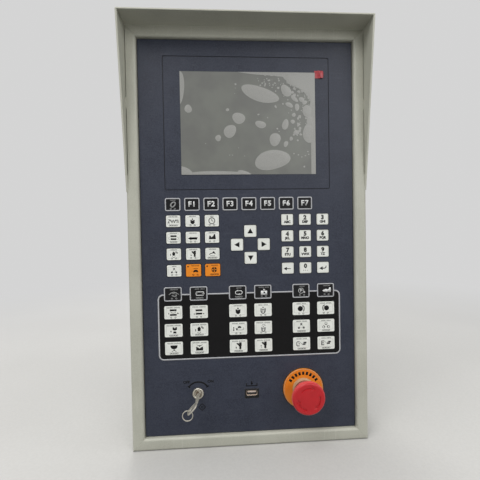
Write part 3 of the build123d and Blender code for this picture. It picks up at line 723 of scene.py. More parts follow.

# Painted shade: a dark line printed round each light key stands in for the shadow in the groove round the raised pad,
# and a faint grey line inside its edge for the shade along an embossed step
rimShadeLook = {
    # how much wider and higher than the key the line runs
    "keys": dict.fromkeys(("menu_keys", "arrow_keys", "number_keys", "heater_keys"), (1.5, 1.5)),
    "corner": 2.2, "line": 0.74,
}
innerShadeLineLook = {
    "keys": {"menu_keys": (-3.0, -4.8), "arrow_keys": (-1.6, -1.6), "number_keys": (-1.6, -1.6),
             "operation_keys": (-4.2, -6.0)},
    "corner": 0.9, "line": 0.16,
}


def rimsOf(look):
    return [shape for nodeName, (wider, higher) in look["keys"].items() for x, y, width, height in padSpans(nodeName)
            for shape in outlines([(x, y)], (width + wider, height + higher), look["corner"], look["line"])]


# painted shade round and inside the light keys
printed("keyRimShade", rimsOf(rimShadeLook), face, "darkPrint", "dark_print")
printed("keyInnerShadeLines", rimsOf(innerShadeLineLook), keyFace, "palePrint", "dark_print", ink=0.03)

numberLook = {
    # size, rise above the key's middle and weight of the numbers and of the letters under them, and the rise, the
    # radius and the places of the three dots under the zero
    "number": (7.4, 2.3, 0.42), "letters": (4.3, -3.1, 0.26), "dots": (-3.2, 0.45, (-2.4, 0, 2.4)),
    "words": ("ABC", "DEF", "GHI", "JKL", "MNO", "PQR", "STU", "VWX", "YZ"),
}
backArrow = [tip(-3.2, -0.6, 3.8, 180), band([(-2.4, -0.6), (3.8, -0.6)], 0.9)]
enterArrow = [tip(-2.5, -1.1, 4.0, 180), band([(-1.7, -1.1), (2.3, -1.1), (3.7, -0.2), (4.2, 2.1)], 1.05)]
numberPlaces = padPlaces("number_keys")
numberSigns = moved(backArrow, *numberPlaces[9]) + moved(enterArrow, *numberPlaces[11])
numbers = zip("1234567890", numberPlaces[:9] + numberPlaces[10:11])
for key, words in (("number", numbers), ("letters", zip(numberLook["words"], numberPlaces))):
    size, rise, weight = numberLook[key]
    numberSigns += [lettering(word, size, x, y + rise, weight) for word, (x, y) in words]
rise, radius, places = numberLook["dots"]
numberSigns += [dot(numberPlaces[10][0] + aside, numberPlaces[10][1] + rise, radius) for aside in places]
printed("numberKeySigns", numberSigns, keyFace, "darkPrint", "dark_print")

functionPlaces = padPlaces("function_keys")
outlineLook = {
    # width and height of the outlines of the dark keys, and the corners and lines of these and of the dark field
    "functionKey": (19.3, 16.5), "modeKey": (22.4, 18.0), "keyCorner": 2.2, "keyLine": 1.35,
    "fieldCorner": 6.5, "fieldLine": 1.7, "letters": 9.2, "weight": 0.33, "gap": 1.14,
}
functionSigns = [lettering("F" + str(index), outlineLook["letters"], x, y, outlineLook["weight"], outlineLook["gap"])
                 for index, (x, y) in enumerate(functionPlaces[1:], 1)]
keyLines = [shape for places, size in ((functionPlaces, "functionKey"), (padPlaces("mode_keys"), "modeKey"))
            for shape in outlines(places, outlineLook[size], outlineLook["keyCorner"], outlineLook["keyLine"])]
printed("keyOutlines", keyLines, keyFace, "lightPrint", "white_key")
fieldMiddle, fieldSize = fromFront("operation_field")
fieldLines = outlines([fieldMiddle], fieldSize, outlineLook["fieldCorner"], outlineLook["fieldLine"])
printed("fieldOutline", fieldLines, fieldFace, "lightPrint", "white_key")
modeWhite, modePale = signedPads("mode_keys", modeSigns, top=5.8, foot=-5.5, wordShift=1.4)
printed("functionKeySigns", functionSigns + modeWhite, keyFace, "whitePrint", "white_key")
functionPale = moved(coil + caption(5.4, 6) + feet(-5.4, 2, 5.0), *functionPlaces[0])
printed("darkKeyPaleSigns", functionPale + modePale, keyFace, "palePrint", "white_key")
print("signs printed on", sum(len(padPlaces(name)) for name in roundings if name.endswith("_keys")), "keys")

# Painted shade: a dark bead fills the groove round the display frame and stands in for the shade in it
grooveWidth, grooveCorner = 0.8, 2.3
frameMiddle, frameSize = fromFront("display_frame")
printed("grooveShadeBead", outlines([frameMiddle], frameSize + 2 * grooveWidth, grooveCorner, grooveWidth),
        extent("panel_plate")[0][1], "blackPlastic", "black_plastic", ink=0.4)

# Protective film: flat on the glass, lifted over trapped air and along some of its edges
filmAir = [
    # x, z, half length, half width, tilt in degrees; mm from the film's middle
    (14.8, 37.2, 25.5, 9.6, -20), (29.5, -46.6, 22.6, 13.2, 8), (33.4, -20.4, 8.4, 7.6, 80), (-12.7, 6.4, 8.4, 7.4, 0),
    (-24.0, -10.1, 9.4, 7.3, 62), (-39.1, -18.7, 4.1, 4.1, 0), (-76.1, 17.9, 5.4, 4.8, 80), (-26.7, 17.0, 2.3, 2.2, 0),
    (15.2, -1.4, 7.1, 5.0, -15), (47.0, -1.4, 7.2, 4.4, 80), (47.4, -26.2, 4.5, 3.0, 75), (54.3, -19.5, 3.2, 2.3, 80),
    (61.0, -11.5, 4.0, 3.2, -10), (48.6, 41.6, 8.6, 6.2, -60), (59.2, 31.6, 6.0, 3.0, -42), (52.4, 23.6, 5.5, 3.2, -22),
    (62.4, 20.8, 5.2, 3.2, 95), (58.1, 10.9, 3.2, 2.6, 60), (56.6, 2.3, 3.3, 2.8, -40), (76.2, 15.8, 7.8, 7.2, 80),
    (78.2, -12.0, 13.0, 9.0, 84), (65.5, 9.0, 2.3, 2.0, 40), (64.0, -1.4, 2.6, 2.0, 60), (66.0, -6.2, 2.3, 2.0, 80),
    (68.5, 30.5, 4.2, 3.2, -30), (72.5, 26.8, 3.6, 2.8, 20), (80.5, 2.5, 9.0, 6.0, 85), (38.4, 45.0, 1.9, 1.8, 0),
    (32.0, 48.8, 1.3, 1.2, 0),
    (27.5, 54.6, 1.4, 1.3, 0), (21.8, 49.6, 2.6, 1.2, 80), (15.6, 48.2, 1.6, 1.2, 0), (39.6, 54.2, 1.4, 1.2, 30),
    (35.0, 51.0, 1.1, 1.0, 0), (30.6, 45.4, 1.1, 1.0, 0), (44.2, 24.8, 1.6, 1.4, 0), (34.8, 21.2, 2.7, 1.4, -60),
    (36.6, -6.8, 1.6, 1.3, -40), (38.8, -10.2, 1.3, 1.0, -50), (12.6, 11.2, 1.8, 1.3, 20), (24.2, 7.2, 1.1, 1.0, 0),
    (-16.0, 49.2, 1.6, 1.5, 0), (-16.4, 44.4, 0.8, 0.8, 0), (-17.2, 37.4, 0.8, 0.8, 0), (-55.0, -25.6, 1.0, 0.9, 0),
    (-25.0, -40.2, 1.0, 0.9, 0), (-21.4, -40.2, 1.0, 0.9, 0), (-13.6, -31.0, 0.9, 0.8, 0), (-5.8, -41.4, 1.0, 0.9, 0),
    (71.0, -55.2, 1.6, 1.4, 0), (57.6, -38.6, 1.4, 1.2, 0), (63.4, -40.2, 1.3, 1.2, 0), (72.6, -41.2, 1.3, 1.1, 0),
    (75.8, -36.0, 1.4, 1.2, 0), (77.0, -39.4, 1.3, 1.1, 0), (62.8, -21.6, 1.8, 1.5, 0), (67.8, -42.8, 1.2, 1.1, 0),
    (45.6, 34.6, 1.2, 1.0, 0), (50.6, 30.0, 1.3, 1.1, 0), (55.0, 17.0, 1.2, 1.1, 0), (51.4, 13.4, 1.0, 0.9, 0),
]
filmEdges = [
    # the same for areas that lie open at the film's edge
    (86.0, 66.0, 45.0, 31.0, -12), (60.0, 68.5, 36.0, 10.5, -14), (86.0, 36.0, 10.0, 24.0, 0),
    (60.0, 64.0, 90.0, 5.5, -1.5), (88.0, 0.0, 160.0, 7.6, 89.2), (-86.0, 45.0, 24.0, 5.6, 88),
    (-44.0, -66.0, 46.0, 6.2, 0), (-88.0, -66.0, 19.0, 12.5, -14), (-6.0, -64.6, 10.0, 5.0, -20),
]
filmNet = {
    # where the film breaks up into small cells: a line through them, its reach, their number and the share lifted
    "line": [(18, 55), (30, 53), (42, 48), (54, 42), (65, 37), (73, 28), (70, 16), (76, 4), (66, 3), (62, -8)],
    "low": (10, -20), "high": (84, 61), "reach": 8.0, "cells": 560, "share": 0.8, "seed": 11, "lineSteps": 120,
    # the cells' radii, the factor on them left and right of x = wideFrom, and over how many mm a cell's edge rises
    "radius": (0.5, 2.6), "narrow": 0.6, "wide": 1.1, "wideFrom": 45, "edge": 0.5,
    # half a wall's width, how much wider its foot is, and how near the line walls run
    "wall": 0.3, "foot": 1.6, "wallsNear": 0.45,
}
filmLook = {
    "film": (109, 111, 105), "filmShade": (101, 102, 98), "air": (149, 149, 145), "airGrain": (141, 141, 137),
    "cell": 0.5, "skin": 0.18, "gap": 0.02,
    # how high the air lifts the film at once, and its dome over an oval and along an edge
    "lift": 0.12, "rise": 0.22, "edgeRise": 0.3,
    # how many mm the lift and the dome take to grow from the outline inwards
    "softness": (0.6, 1.0), "domeSoftness": (5.0, 6.0),
    # where the edges' outline is ragged, and how far from there it becomes even
    "ragged": 0.6, "raggedPlace": (60, 40), "raggedReach": 38,
    # height of the two waves that make it so, and the rate, the sway and the rate of the sway of each
    "rippleHeight": 0.7, "ripples": ((0.9, 2.1, 0.31), (1.1, 1.7, 0.4)),
    # the two creases: place, lean, half width, start and end; and how much of the lift they take away
    "creases": ((60.8, 0.008, 0.45, -20, 80), (80.6, 0.01, 0.4, -100, 20)), "creaseShare": 0.45,
    # height of the swell of the whole sheet and the rates of its two waves along u and v
    "swell": 0.05, "swellRates": ((0.11, 0.07), (-0.05, 0.13)),
    "broadSize": 25, "grainSize": 0.8, "roughness": (0.34, 0.46), "coat": 0.15, "coatRoughness": 0.25,
    "bumpSize": 7, "bumpStretch": (1, 1, 3), "bump": 0.12, "bumpDepth": 0.4,
}
# How an oval's outline wavers: height, waves round the oval, and how much each next oval's waves are turned on
ovalWaves = ((0.05, 2, 1), (0.04, 3, 2.3))


def fading(distance, reach):
    # 1 near by, and from 0.3 of the reach on less and less, down to 0 at 1.3 of it
    return np.clip(1.3 - distance / reach, 0, 1)


def airUnder(x, z, areas, softness):
    # How far inside its nearest oval a point lies, from 0 outside to 1: one less the oval's own distance,
    # where the outline wavers a little with the direction
    inside = np.zeros_like(x)
    for index, (middleX, middleZ, halfLength, halfWidth, tilt) in enumerate(areas):
        cosine, sine = np.cos(np.radians(tilt)), np.sin(np.radians(tilt))
        along = ((x - middleX) * cosine + (z - middleZ) * sine) / halfLength
        across = ((z - middleZ) * cosine - (x - middleX) * sine) / halfWidth
        direction = np.arctan2(across, along)
        waver = sum((height * np.sin(waves * direction + turn * index) for height, waves, turn in ovalWaves), 1)
        depth = (waver - np.hypot(along, across)) * min(halfLength, halfWidth)
        inside = np.maximum(inside, np.clip(depth / softness, 0, 1))
    return inside * inside * (3 - 2 * inside)


def smallCells(x, z, net):
    # Each point belongs to its nearest seed; a wall lies where the two nearest seeds are equally far, and a
    # cell reaches no further from its seed than its own radius.
    # Gives 1 inside the cells that are lifted, and 1 on the walls wherever the net runs
    random = np.random.default_rng(net["seed"])
    seeds = random.uniform(net["low"], net["high"], (net["cells"], 2))
    line = np.array(net["line"], float)
    station = np.linspace(0, len(line) - 1, net["lineSteps"])
    route = np.stack([np.interp(station, np.arange(len(line)), line[:, axis]) for axis in (0, 1)], 1)

    def nearLine(points):
        return fading(np.hypot(*(points[:, None] - route[None]).transpose(2, 0, 1)).min(1), net["reach"])

    lifted = random.random(net["cells"]) < net["share"] * nearLine(seeds)
    radius = random.uniform(*net["radius"], net["cells"])
    radius *= np.where(seeds[:, 0] > net["wideFrom"], net["wide"], net["narrow"])
    points = np.stack([x.ravel(), z.ravel()], 1)
    inside = np.flatnonzero(((points > net["low"]) & (points < net["high"])).all(1))
    away = np.hypot(*(points[inside, None] - seeds[None]).astype(np.float32).transpose(2, 0, 1))
    nearest = np.argpartition(away, 1, 1)[:, :2]
    both = np.take_along_axis(away, nearest, 1)
    first = np.where(both[:, 0] < both[:, 1], nearest[:, 0], nearest[:, 1])
    wall = np.clip(net["foot"] - abs(both[:, 0] - both[:, 1]) / 2 / net["wall"], 0, 1)
    cells, walls = np.zeros(x.size), np.zeros(x.size)
    reached = np.clip((radius[first] - both.min(1)) / net["edge"], 0, 1)
    cells[inside] = lifted[first] * np.clip(1 - wall, 0, 1) * reached
    walls[inside] = wall * (nearLine(points[inside]) > net["wallsNear"])
    return cells.reshape(x.shape), walls.reshape(x.shape)


def makeFilm(look):
    # The film as a height field: z and x run over the sheet, y comes forward with the air under it.
    # A row at the back before the first and after the last row closes it round, two end faces close its sides
    low, high = extent("screen_film")
    columns, rows = (int(span / look["cell"]) for span in (high[0] - low[0], high[2] - low[2]))
    x, z = np.meshgrid(np.linspace(low[0], high[0], columns), np.linspace(low[2], high[2], rows))
    u, v = x - (low[0] + high[0]) / 2, z - (low[2] + high[2]) / 2
    cells, walls = smallCells(u, v, filmNet)
    ripple = sum(look["rippleHeight"] * np.sin(rate * along + sway * np.sin(swayRate * across))
                 for (rate, sway, swayRate), along, across in zip(look["ripples"], (u, v), (v, u)))
    away = np.hypot(u - look["raggedPlace"][0], v - look["raggedPlace"][1])
    ragged = look["ragged"] * ripple * fading(away, look["raggedReach"])
    air = airUnder(u, v, filmAir, look["softness"][0])
    edge = airUnder(u + ragged, v + ragged, filmEdges, look["softness"][1]) * (1 - walls)
    # Two creases, one along the upper and one along the right edge, press the lifted film down again
    crease = sum(np.exp(-((across - place - lean * along) / half) ** 2) * (along > start) * (along < stop)
                 for (place, lean, half, start, stop), along, across in zip(look["creases"], (u, v), (v, u)))
    lift = np.maximum(np.maximum(air, edge), cells) * (1 - look["creaseShare"] * crease)
    dome = np.maximum(airUnder(u, v, filmAir, look["domeSoftness"][0]) * look["rise"],
                      airUnder(u, v, filmEdges, look["domeSoftness"][1]) * look["edgeRise"])
    first, second = (np.sin(rates[0] * u + rates[1] * v) for rates in look["swellRates"])
    swell = np.maximum(look["swell"] * first * second, 0)
    front = high[1] - look["skin"] - look["gap"] - look["lift"] * lift - dome - swell
    back = np.full((1, columns), high[1] - look["gap"])
    x, z, mark = (np.concatenate([value[:1], value, value[-1:]]) for value in (x, z, lift))
    points = gridPoints(x, np.concatenate([back, front, back]), z)
    column = np.arange(columns - 1)
    last = (rows + 1) * columns
    closing = np.stack([last + column, last + column + 1, column + 1, column], 1)
    side = np.arange(rows + 2) * columns
    faces = gridFaces(rows + 2, columns).tolist() + closing.tolist()
    faces += [side.tolist(), (side[::-1] + columns - 1).tolist()]
    piece = addPiece("screenFilm", points, faces, "film", "housing", "clear_film", cleaned=False)
    airMark = piece.data.attributes.new("airMark", "FLOAT", "POINT")
    airMark.data.foreach_set("value", mark.ravel().astype(np.float32))
    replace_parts(piece, "screen_film")


def makeFilmFinish(look):
    # Dull film on the dark screen, lighter where the mark says that air lies under it
    material, tree, shader, place = newMaterial("film")
    mark = addNode(tree, "ShaderNodeAttribute", attribute_name="airMark").outputs["Fac"]
    film, filmShade, air, airGrain = (linearColour(*look[key]) for key in ("film", "filmShade", "air", "airGrain"))
    flat = blendColours(tree, spread(tree, noiseAt(tree, place, look["broadSize"]), 0, 1), film, filmShade)
    grain = noiseAt(tree, place, look["grainSize"], 3.0)
    raised = blendColours(tree, spread(tree, grain, 0, 1), air, airGrain)
    tree.links.new(blendColours(tree, spread(tree, mark, 0, 1), flat, raised), shader.inputs["Base Color"])
    tree.links.new(spread(tree, grain, *look["roughness"]), shader.inputs["Roughness"])
    wrinkle = noiseAt(tree, place, look["bumpSize"], 2.0, look["bumpStretch"])
    addRelief(tree, shader, wrinkle, look["bump"], look["bumpDepth"])
    for key in ("coat", "coatRoughness"):
        shader.inputs[shaderInputs[key]].default_value = look[key]
    return material


finishes["film"] = makeFilmFinish(filmLook)
makeFilm(filmLook)

tabLook = {
    "curl": 1.0, "curlPower": 2.2, "wave": 0.25, "waveRate": 2.6, "waveStart": 0.8,
    "skin": 0.14, "corner": 1.4, "steps": 24, "under": 0.6, "gap": 0.06,
    "fold": 0.9, "foldPlace": 0.62, "foldTilt": -0.16, "foldWidth": 0.16,
}


def makeTab(look):
    # The pull tab: a small sheet that curls forward to its free edge with a slight wave across, and with a
    # rounded fold that stands up along a slanting line
    low, high = extent("film_tab")
    width, halfHeight = high[0] - low[0], (high[2] - low[2]) / 2
    u, v = np.meshgrid(np.linspace(0, 1, look["steps"]), np.linspace(-1, 1, look["steps"]))
    edge = np.clip((u * width - (width - look["corner"])) / look["corner"], 0, 1)
    tall = halfHeight - look["corner"] * (1 - np.sqrt(1 - edge * edge))
    ridge = (u - look["foldPlace"] - look["foldTilt"] * v) / look["foldWidth"]
    wave = look["wave"] * u * np.sin(look["waveRate"] * v + look["waveStart"])
    forward = look["curl"] * u ** look["curlPower"] + wave + look["fold"] / (1 + ridge * ridge)
    points = gridPoints(low[0] - look["under"] + u * (width + look["under"]),
                        high[1] - look["skin"] - look["gap"] - np.maximum(forward, 0),
                        (low[2] + high[2]) / 2 + v * tall)
    piece = addPiece("pullTab", points, gridFaces(look["steps"], look["steps"]), "redTab", "housing", "red_tab",
                     cleaned=False)
    thicken(piece, "skin", look["skin"])
    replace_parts(piece, "film_tab")


makeTab(tabLook)
print("film and pull tab made")

# Signs printed on the membrane round the controls
lockPlace = fromFront("lock_barrel")[0]
portPlace, portSize = fromFront("port_insert")
stopPlace, discSize = fromFront("stop_disc")
lockSigns = [bow(0, 0, 14.2, 34, 145, 1.9), box(12.1, 7.7, 1.3, 3.8, -55), box(-11.7, 8.0, 1.3, 3.8, 55),
             lettering("OFF", 4.9, -14.6, 14.2, 0.2), lettering("ON", 4.9, 16.0, 14.2, 0.2),
             band(rotated(roundedLoop(6.4, 6.4, 0.8), 45) + (4.6, -18.6), 1.0, closed=True),
             hoop(4.6, -18.6, 1.3, 0.8)]
portSigns = [band([(-6.8, 2.0), (-6.8, -1.4), (6.8, -1.4), (6.8, 2.0)], 1.2), box(0, 3.0, 1.3, 3.6),
             tip(0, 1.0, 3.0, -90)]
portSignRise = portSize[1] / 2 + 5.4   # above the port's middle
placedSigns = moved(lockSigns, *lockPlace) + moved(portSigns, portPlace[0], portPlace[1] + portSignRise)
printed("panelSigns", placedSigns, face, "darkPrint", "dark_print")
portSeal = [band(roundedLoop(*(portSize + 0.2), 0.5), 0.6, closed=True)]
printed("portSeal", moved(portSeal, *portPlace), face, "blackPlastic", "black_plastic", ink=0.2)

# Plain bars along the upper arc of the stop button's disc; a black seal under its edge that is also painted shadow
# under the disc; and a cream line on the edge, a painted highlight in place of light on its chamfer
discFace = extent("stop_disc")[0][1]
discRadius = discSize[0] / 2
discMarks = [mark for angle in np.linspace(56, -56, 9) for mark in swung([box(0, 20.3, 3.0, 4.3)], angle)]
# The seal ring is also painted shadow under the disc's edge; the cream line is a painted highlight on the chamfer
discSealAndShadow, discEdgeHighlight = [hoop(0, 0, discRadius + 0.7, 1.5, 90)], [hoop(0, 0, discRadius - 0.7, 0.55, 90)]
printed("stopDiscSigns", moved(discMarks, *stopPlace), discFace, "darkPrint", "dark_print")
printed("stopDiscSealAndShadow", moved(discSealAndShadow, *stopPlace), face, "blackPlastic", "black_plastic", ink=0.3)
printed("stopDiscEdgeHighlight", moved(discEdgeHighlight, *stopPlace), discFace, "creamPlastic", "yellow_plastic")

# Stop button head: skirt, cone and rounded front, with three turning arrows sunk into it
headLook = {
    "bore": 5.1, "skirt": 12.2, "skirtEdge": 0.4, "skirtTop": 9.8, "rim": 20.5, "rimStart": 23.5, "top": 29.6,
    # the corners from the cone to the rim, out from the rim and up from its start
    "rimEdge": [(-0.5, -0.6), (-0.12, 0), (0, 0.6)], "rounding": 3.4, "frontStep": 0.25, "frontSteps": 72,
    "crown": 0.35, "arrowRadius": 13.4, "arrowSpan": 78, "arrowHalf": 0.9, "headShare": 0.22, "headHalf": 2.5,
    "sink": 1.1, "slope": 0.35, "firstArrow": 58, "arrows": 3,
}


def makeStopHead(look, steps=300):
    # The profile goes from the back of the skirt out to the rim and in over the front to the middle. On the
    # front an arrow is the band of radii within half its width, which widens and closes again at the arrow's
    # head; the rest of the front falls off a little towards the rim
    back = face - extent("stop_head")[1][1]
    skirt, rim, start, top = look["skirt"], look["rim"], look["rimStart"], look["top"]
    corner = np.radians(np.linspace(0, 90, 9))
    rounded = np.stack([rim - look["rounding"] * (1 - np.cos(corner)),
                        top - look["rounding"] * (1 - np.sin(corner))], 1)
    flat = np.linspace(rim - look["rounding"] - look["frontStep"], 0, look["frontSteps"])
    edge = look["skirtEdge"]
    profile = np.concatenate([
        [(look["bore"], back), (skirt - edge, back), (skirt, back + edge), (skirt, look["skirtTop"])],
        np.array(look["rimEdge"]) + (rim, start), rounded, np.stack([flat, np.full(len(flat), top)], 1)])
    points, faces = turned(profile, stopPlace, face, steps)
    aside = points[:, [0, 2]] / mm - stopPlace
    radius, angle = np.hypot(*aside.T), np.degrees(np.arctan2(aside[:, 1], aside[:, 0]))
    front = face - points[:, 1] / mm > top - 0.01
    along = ((look["firstArrow"] + look["arrowSpan"] - angle) % (360 / look["arrows"])) / look["arrowSpan"]
    headPart = np.clip((along - 1 + look["headShare"]) / look["headShare"], 0, 1)
    half = np.where(headPart > 0, look["headHalf"] * (1 - headPart), look["arrowHalf"])
    depth = np.clip((half - abs(radius - look["arrowRadius"])) / look["slope"] + 0.5, 0, 1) * (along < 1)
    points[:, 1] += mm * front * (look["sink"] * depth + look["crown"] * (radius / rim) ** 2)
    piece = addPiece("stopHead", points, faces, "redPlastic", "mushroom", "red_plastic", sharp=50)
    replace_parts(piece, "stop_head")


makeStopHead(headLook)
print("stop button finished")

# Data port: a liner in its window, a thin shell that flares above and below its mouth, the dark body behind the
# mouth, which is partly painted shade, a pale tongue, and contacts under it
portLook = {
    "flare": 1.0, "lipHalf": 4.9, "lipStart": 1.45, "lipStop": 0.55, "wall": 0.3, "corner": 1.6, "aside": 1.9,
    "tongueStart": 1.2, "tongueCorner": 0.35, "tongueFront": (0.85, 0.25),
    "contacts": (-3.5, -1.2, 1.2, 3.5), "contactWidth": 0.9, "contactHeight": 0.12, "contactSide": 0.08,
    "contactEdge": 0.1, "contactDepths": (0.3, 0.5, 6.5), "contactTip": 0.4,
    "liner": 0.3, "linerCorner": 0.7, "linerDepth": 1.45, "linerRise": 0.12, "linerPlay": 0.02,
    "shadeStart": 1.9, "shadeThickness": 0.5, "shadeGap": (0.12, 0.14), "shadeBeside": 0.3,
    "shadeFront": (0.96, 0.1), "shadeCorner": 0.3,
}


def carriedRound(name, loop, middle, growth, depth, finish, slot):
    # A closed section carried round a loop: each corner lies so far outside the loop as it has grown, and at its
    # own depth
    normal = loopNormals(loop)
    x, z = (middle[axis] + loop[:, axis, None] + growth * normal[:, axis, None] for axis in (0, 1))
    return addPiece(name, gridPoints(x, depth, z), ringFaces(len(loop), len(depth)), finish, "housing", slot)


def carriedBack(name, loop, middle, start, stop, front, finish, slot):
    # A loop carried back from one depth to another; its front is smaller by a factor and full after a short way
    smaller, way = front
    growth, depth = np.array([(smaller, start), (1, start + way), (1, stop)]).T[:, :, None]
    x, z = (middle[axis] + growth * loop[None, :, axis] for axis in (0, 1))
    return addPiece(name, gridPoints(x, depth, z), barFaces(3, len(loop)), finish, "housing", slot)


def makeLiner(look):
    # A thin black rim round the inside of the window
    loop = roundedLoop(*(portSize - 2 * look["liner"]), look["linerCorner"], 5)
    front, back, thick = face - look["linerRise"], face + look["linerDepth"], look["liner"] - look["linerPlay"]
    growth, depth = np.array([(0, back), (thick, back), (thick, front), (0, front)]).T
    carriedRound("portLiner", loop, portPlace, growth, depth, "blackPlastic", "black_plastic")


def makeShell(look):
    # The lips above and below grow out fully as far as the lips' half width and fade beside it, so that the ends
    # stay a bare thin wall
    middle, size = fromFront("port_shell")
    slot = 2 * (extent("port_tongue")[1][2] - middle[1])
    loop = roundedLoop(size[0] - look["aside"], slot, look["corner"], 6)
    wall, flare, back = look["wall"], look["flare"], extent("port_shell")[1][1]
    start, stop = face + look["lipStart"], face + look["lipStop"]
    growth, depth = np.array([
        (0.02, back), (wall, back), (wall, start + 0.3), (wall + 0.25, start), (flare, start - 0.15),
        (flare + 0.05, stop + 0.3), (flare - 0.3, stop), (wall, stop), (0.1, stop + 0.15), (0.02, stop + 0.5)]).T
    lip = np.clip((look["lipHalf"] - abs(loop[:, :1])) / 0.5 + 1, 0, 1) * abs(loopNormals(loop)[:, 1:])
    growth = np.minimum(growth, wall) + np.maximum(growth - wall, 0) * lip
    piece = carriedRound("portShell", loop, middle, growth, depth, "portMetal", slotOf["port_shell"])
    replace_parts(piece, "port_shell")


def makeShade(look):
    # The dark body that closes the slot below the tongue, behind its front: partly a black body as in real ports,
    # partly painted shade that keeps the mouth dark
    middle = fromFront("port_shell")[0]
    low, high = extent("port_tongue")
    bottom, top = 2 * middle[1] - high[2] + look["shadeGap"][0], low[2] - look["shadeGap"][1]
    loop = roundedLoop(high[0] - low[0] + 2 * look["shadeBeside"], top - bottom, look["shadeCorner"], 4)
    start = face + look["shadeStart"]
    carriedBack("portShade", loop, ((low[0] + high[0]) / 2, (bottom + top) / 2), start,
                start + look["shadeThickness"], look["shadeFront"], "blackPlastic", "black_plastic")


def makeTongue(look):
    # The tongue, with a front that is rounded to all sides
    middle, size = fromFront("port_tongue")
    piece = carriedBack("portTongue", roundedLoop(*size, look["tongueCorner"], 4), middle,
                        face + look["tongueStart"], extent("port_tongue")[1][1], look["tongueFront"],
                        "tonguePlastic", slotOf["port_tongue"])
    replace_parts(piece, "port_tongue")


def makeContacts(look):
    # Thin strips under the tongue, each a rounded bar carried back from the tongue's front
    low, high = extent("port_tongue")
    half, side, edge = look["contactWidth"] / 2, look["contactSide"], look["contactEdge"]
    corners = np.array([(half, 0.0), (half, -side), (half - edge, -look["contactHeight"])])
    section = np.concatenate([corners * (-1, 1), corners[::-1]])
    depth = low[1] + np.array(look["contactDepths"])[:, None]
    points, faces = [], []
    for index, place in enumerate(look["contacts"]):
        x = (low[0] + high[0]) / 2 + place + section[None, :, 0]
        z = low[2] + section[None, :, 1] * np.array([look["contactTip"], 1, 1])[:, None]
        points.append(gridPoints(x, depth, z))
        faces += [[corner + index * 3 * len(section) for corner in ring] for ring in barFaces(3, len(section))]
    addPiece("portContacts", np.concatenate(points), faces, "contactMetal", "housing", slotOf["port_shell"])


for makePiece in (makeLiner, makeShell, makeShade, makeTongue, makeContacts):
    makePiece(portLook)
print("data port finished")

# Lock barrel: a rim rounded outside and dished towards the core, on a plain tube, and the core's plated rim
lockLook = {
    "rim": [(4.52, 1.5), (4.6, 1.95), (4.9, 2.4), (5.4, 2.78), (5.9, 2.96), (6.35, 2.92), (6.8, 2.66), (7.1, 2.2),
            (7.2, 1.6)],
    "bore": 4.5, "tube": 6.0, "dish": 1.2, "coreRim": 3.62, "coreRimWidth": 1.0,
}


def makeBarrel(look):
    # The profile goes from the rear of the bore forwards, over the rim and back along the outside of the tube
    rear = face - extent("lock_barrel")[1][1]
    bore, tube = look["bore"], look["tube"]
    profile = [(bore, rear), (bore, look["dish"])] + look["rim"]
    profile += [(look["rim"][-1][0], 0), (tube, 0), (tube, rear), (bore, rear)]
    points, faces = turned(profile, lockPlace, face, 72)
    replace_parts(addPiece("lockBarrel", points, faces, "plated", "housing", slotOf["lock_barrel"]), "lock_barrel")


makeBarrel(lockLook)
coreRim = moved([hoop(0, 0, lockLook["coreRim"], lockLook["coreRimWidth"], 40)], *lockPlace)
printed("lockCoreRim", coreRim, extent("lock_core")[0][1], "plated", slotOf["lock_core"], body="lock", ink=0.15)

# Key: a grooved blade that stands in the lock, and an oval bow with a raised rim and a hole for the ring
keyLook = {
    "bowMiddle": (27.3, 7.5), "bowHalf": (6.8, 8.0), "bowPower": 2.6, "hole": (28.3, 8.75), "holeRadius": 3.18,
    "thickness": 0.7, "recess": 0.06, "steps": 72, "tilt": 45,
    # the blade and the shaft: out of the panel, then the lower and the upper edge beside the lock's axis
    "stations": [(-10.6, -2.1, 2.1), (-9.0, -3.9, 3.9), (2.4, -3.9, 3.9), (3.0, -2.8, 2.3), (20.5, -2.7, 2.6),
                 (27.0, -0.2, 5.0)],
    "bladeThickness": 0.64, "groove": 0.3,
}


def keyPlane(out, aside, thick):
    # Out of the panel, aside down to the left in the key's plane, thick across that plane
    cosine, sine = np.cos(np.radians(keyLook["tilt"])), np.sin(np.radians(keyLook["tilt"]))
    return gridPoints(lockPlace[0] + thick * cosine - aside * sine, face - out,
                      lockPlace[1] - thick * sine - aside * cosine)


def makeBow(look):
    # Every point lies a share of the way from the hole's circle to an oval whose sides are powers of cosine and
    # sine, and the thickness follows that share, down in the middle field and up at the rim
    turn = np.linspace(0, fullTurn, look["steps"], endpoint=False)[:, None]
    power = 2 / look["bowPower"]
    oval = [middle + half * np.sign(value) * abs(value) ** power
            for middle, half, value in zip(look["bowMiddle"], look["bowHalf"], (np.cos(turn), np.sin(turn)))]
    hole = [middle + look["holeRadius"] * value for middle, value in zip(look["hole"], (np.cos(turn), np.sin(turn)))]
    full, low = look["thickness"], look["thickness"] - look["recess"]
    section = np.array([(0, full - 0.2), (0.05, full), (0.13, full), (0.17, low), (0.8, low), (0.84, full),
                        (0.97, full), (1, full - 0.2)])
    section = np.concatenate([section, section[::-1] * (1, -1)])
    share, thick = section.T[:, None]
    points = keyPlane(hole[0] + share * (oval[0] - hole[0]), hole[1] + share * (oval[1] - hole[1]), thick)
    faces = ringFaces(look["steps"], len(section))
    bowPiece = addPiece("keyBow", points, faces, "keyMetal", "lock", "key_metal", sharp=40)
    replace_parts(bowPiece, "key")


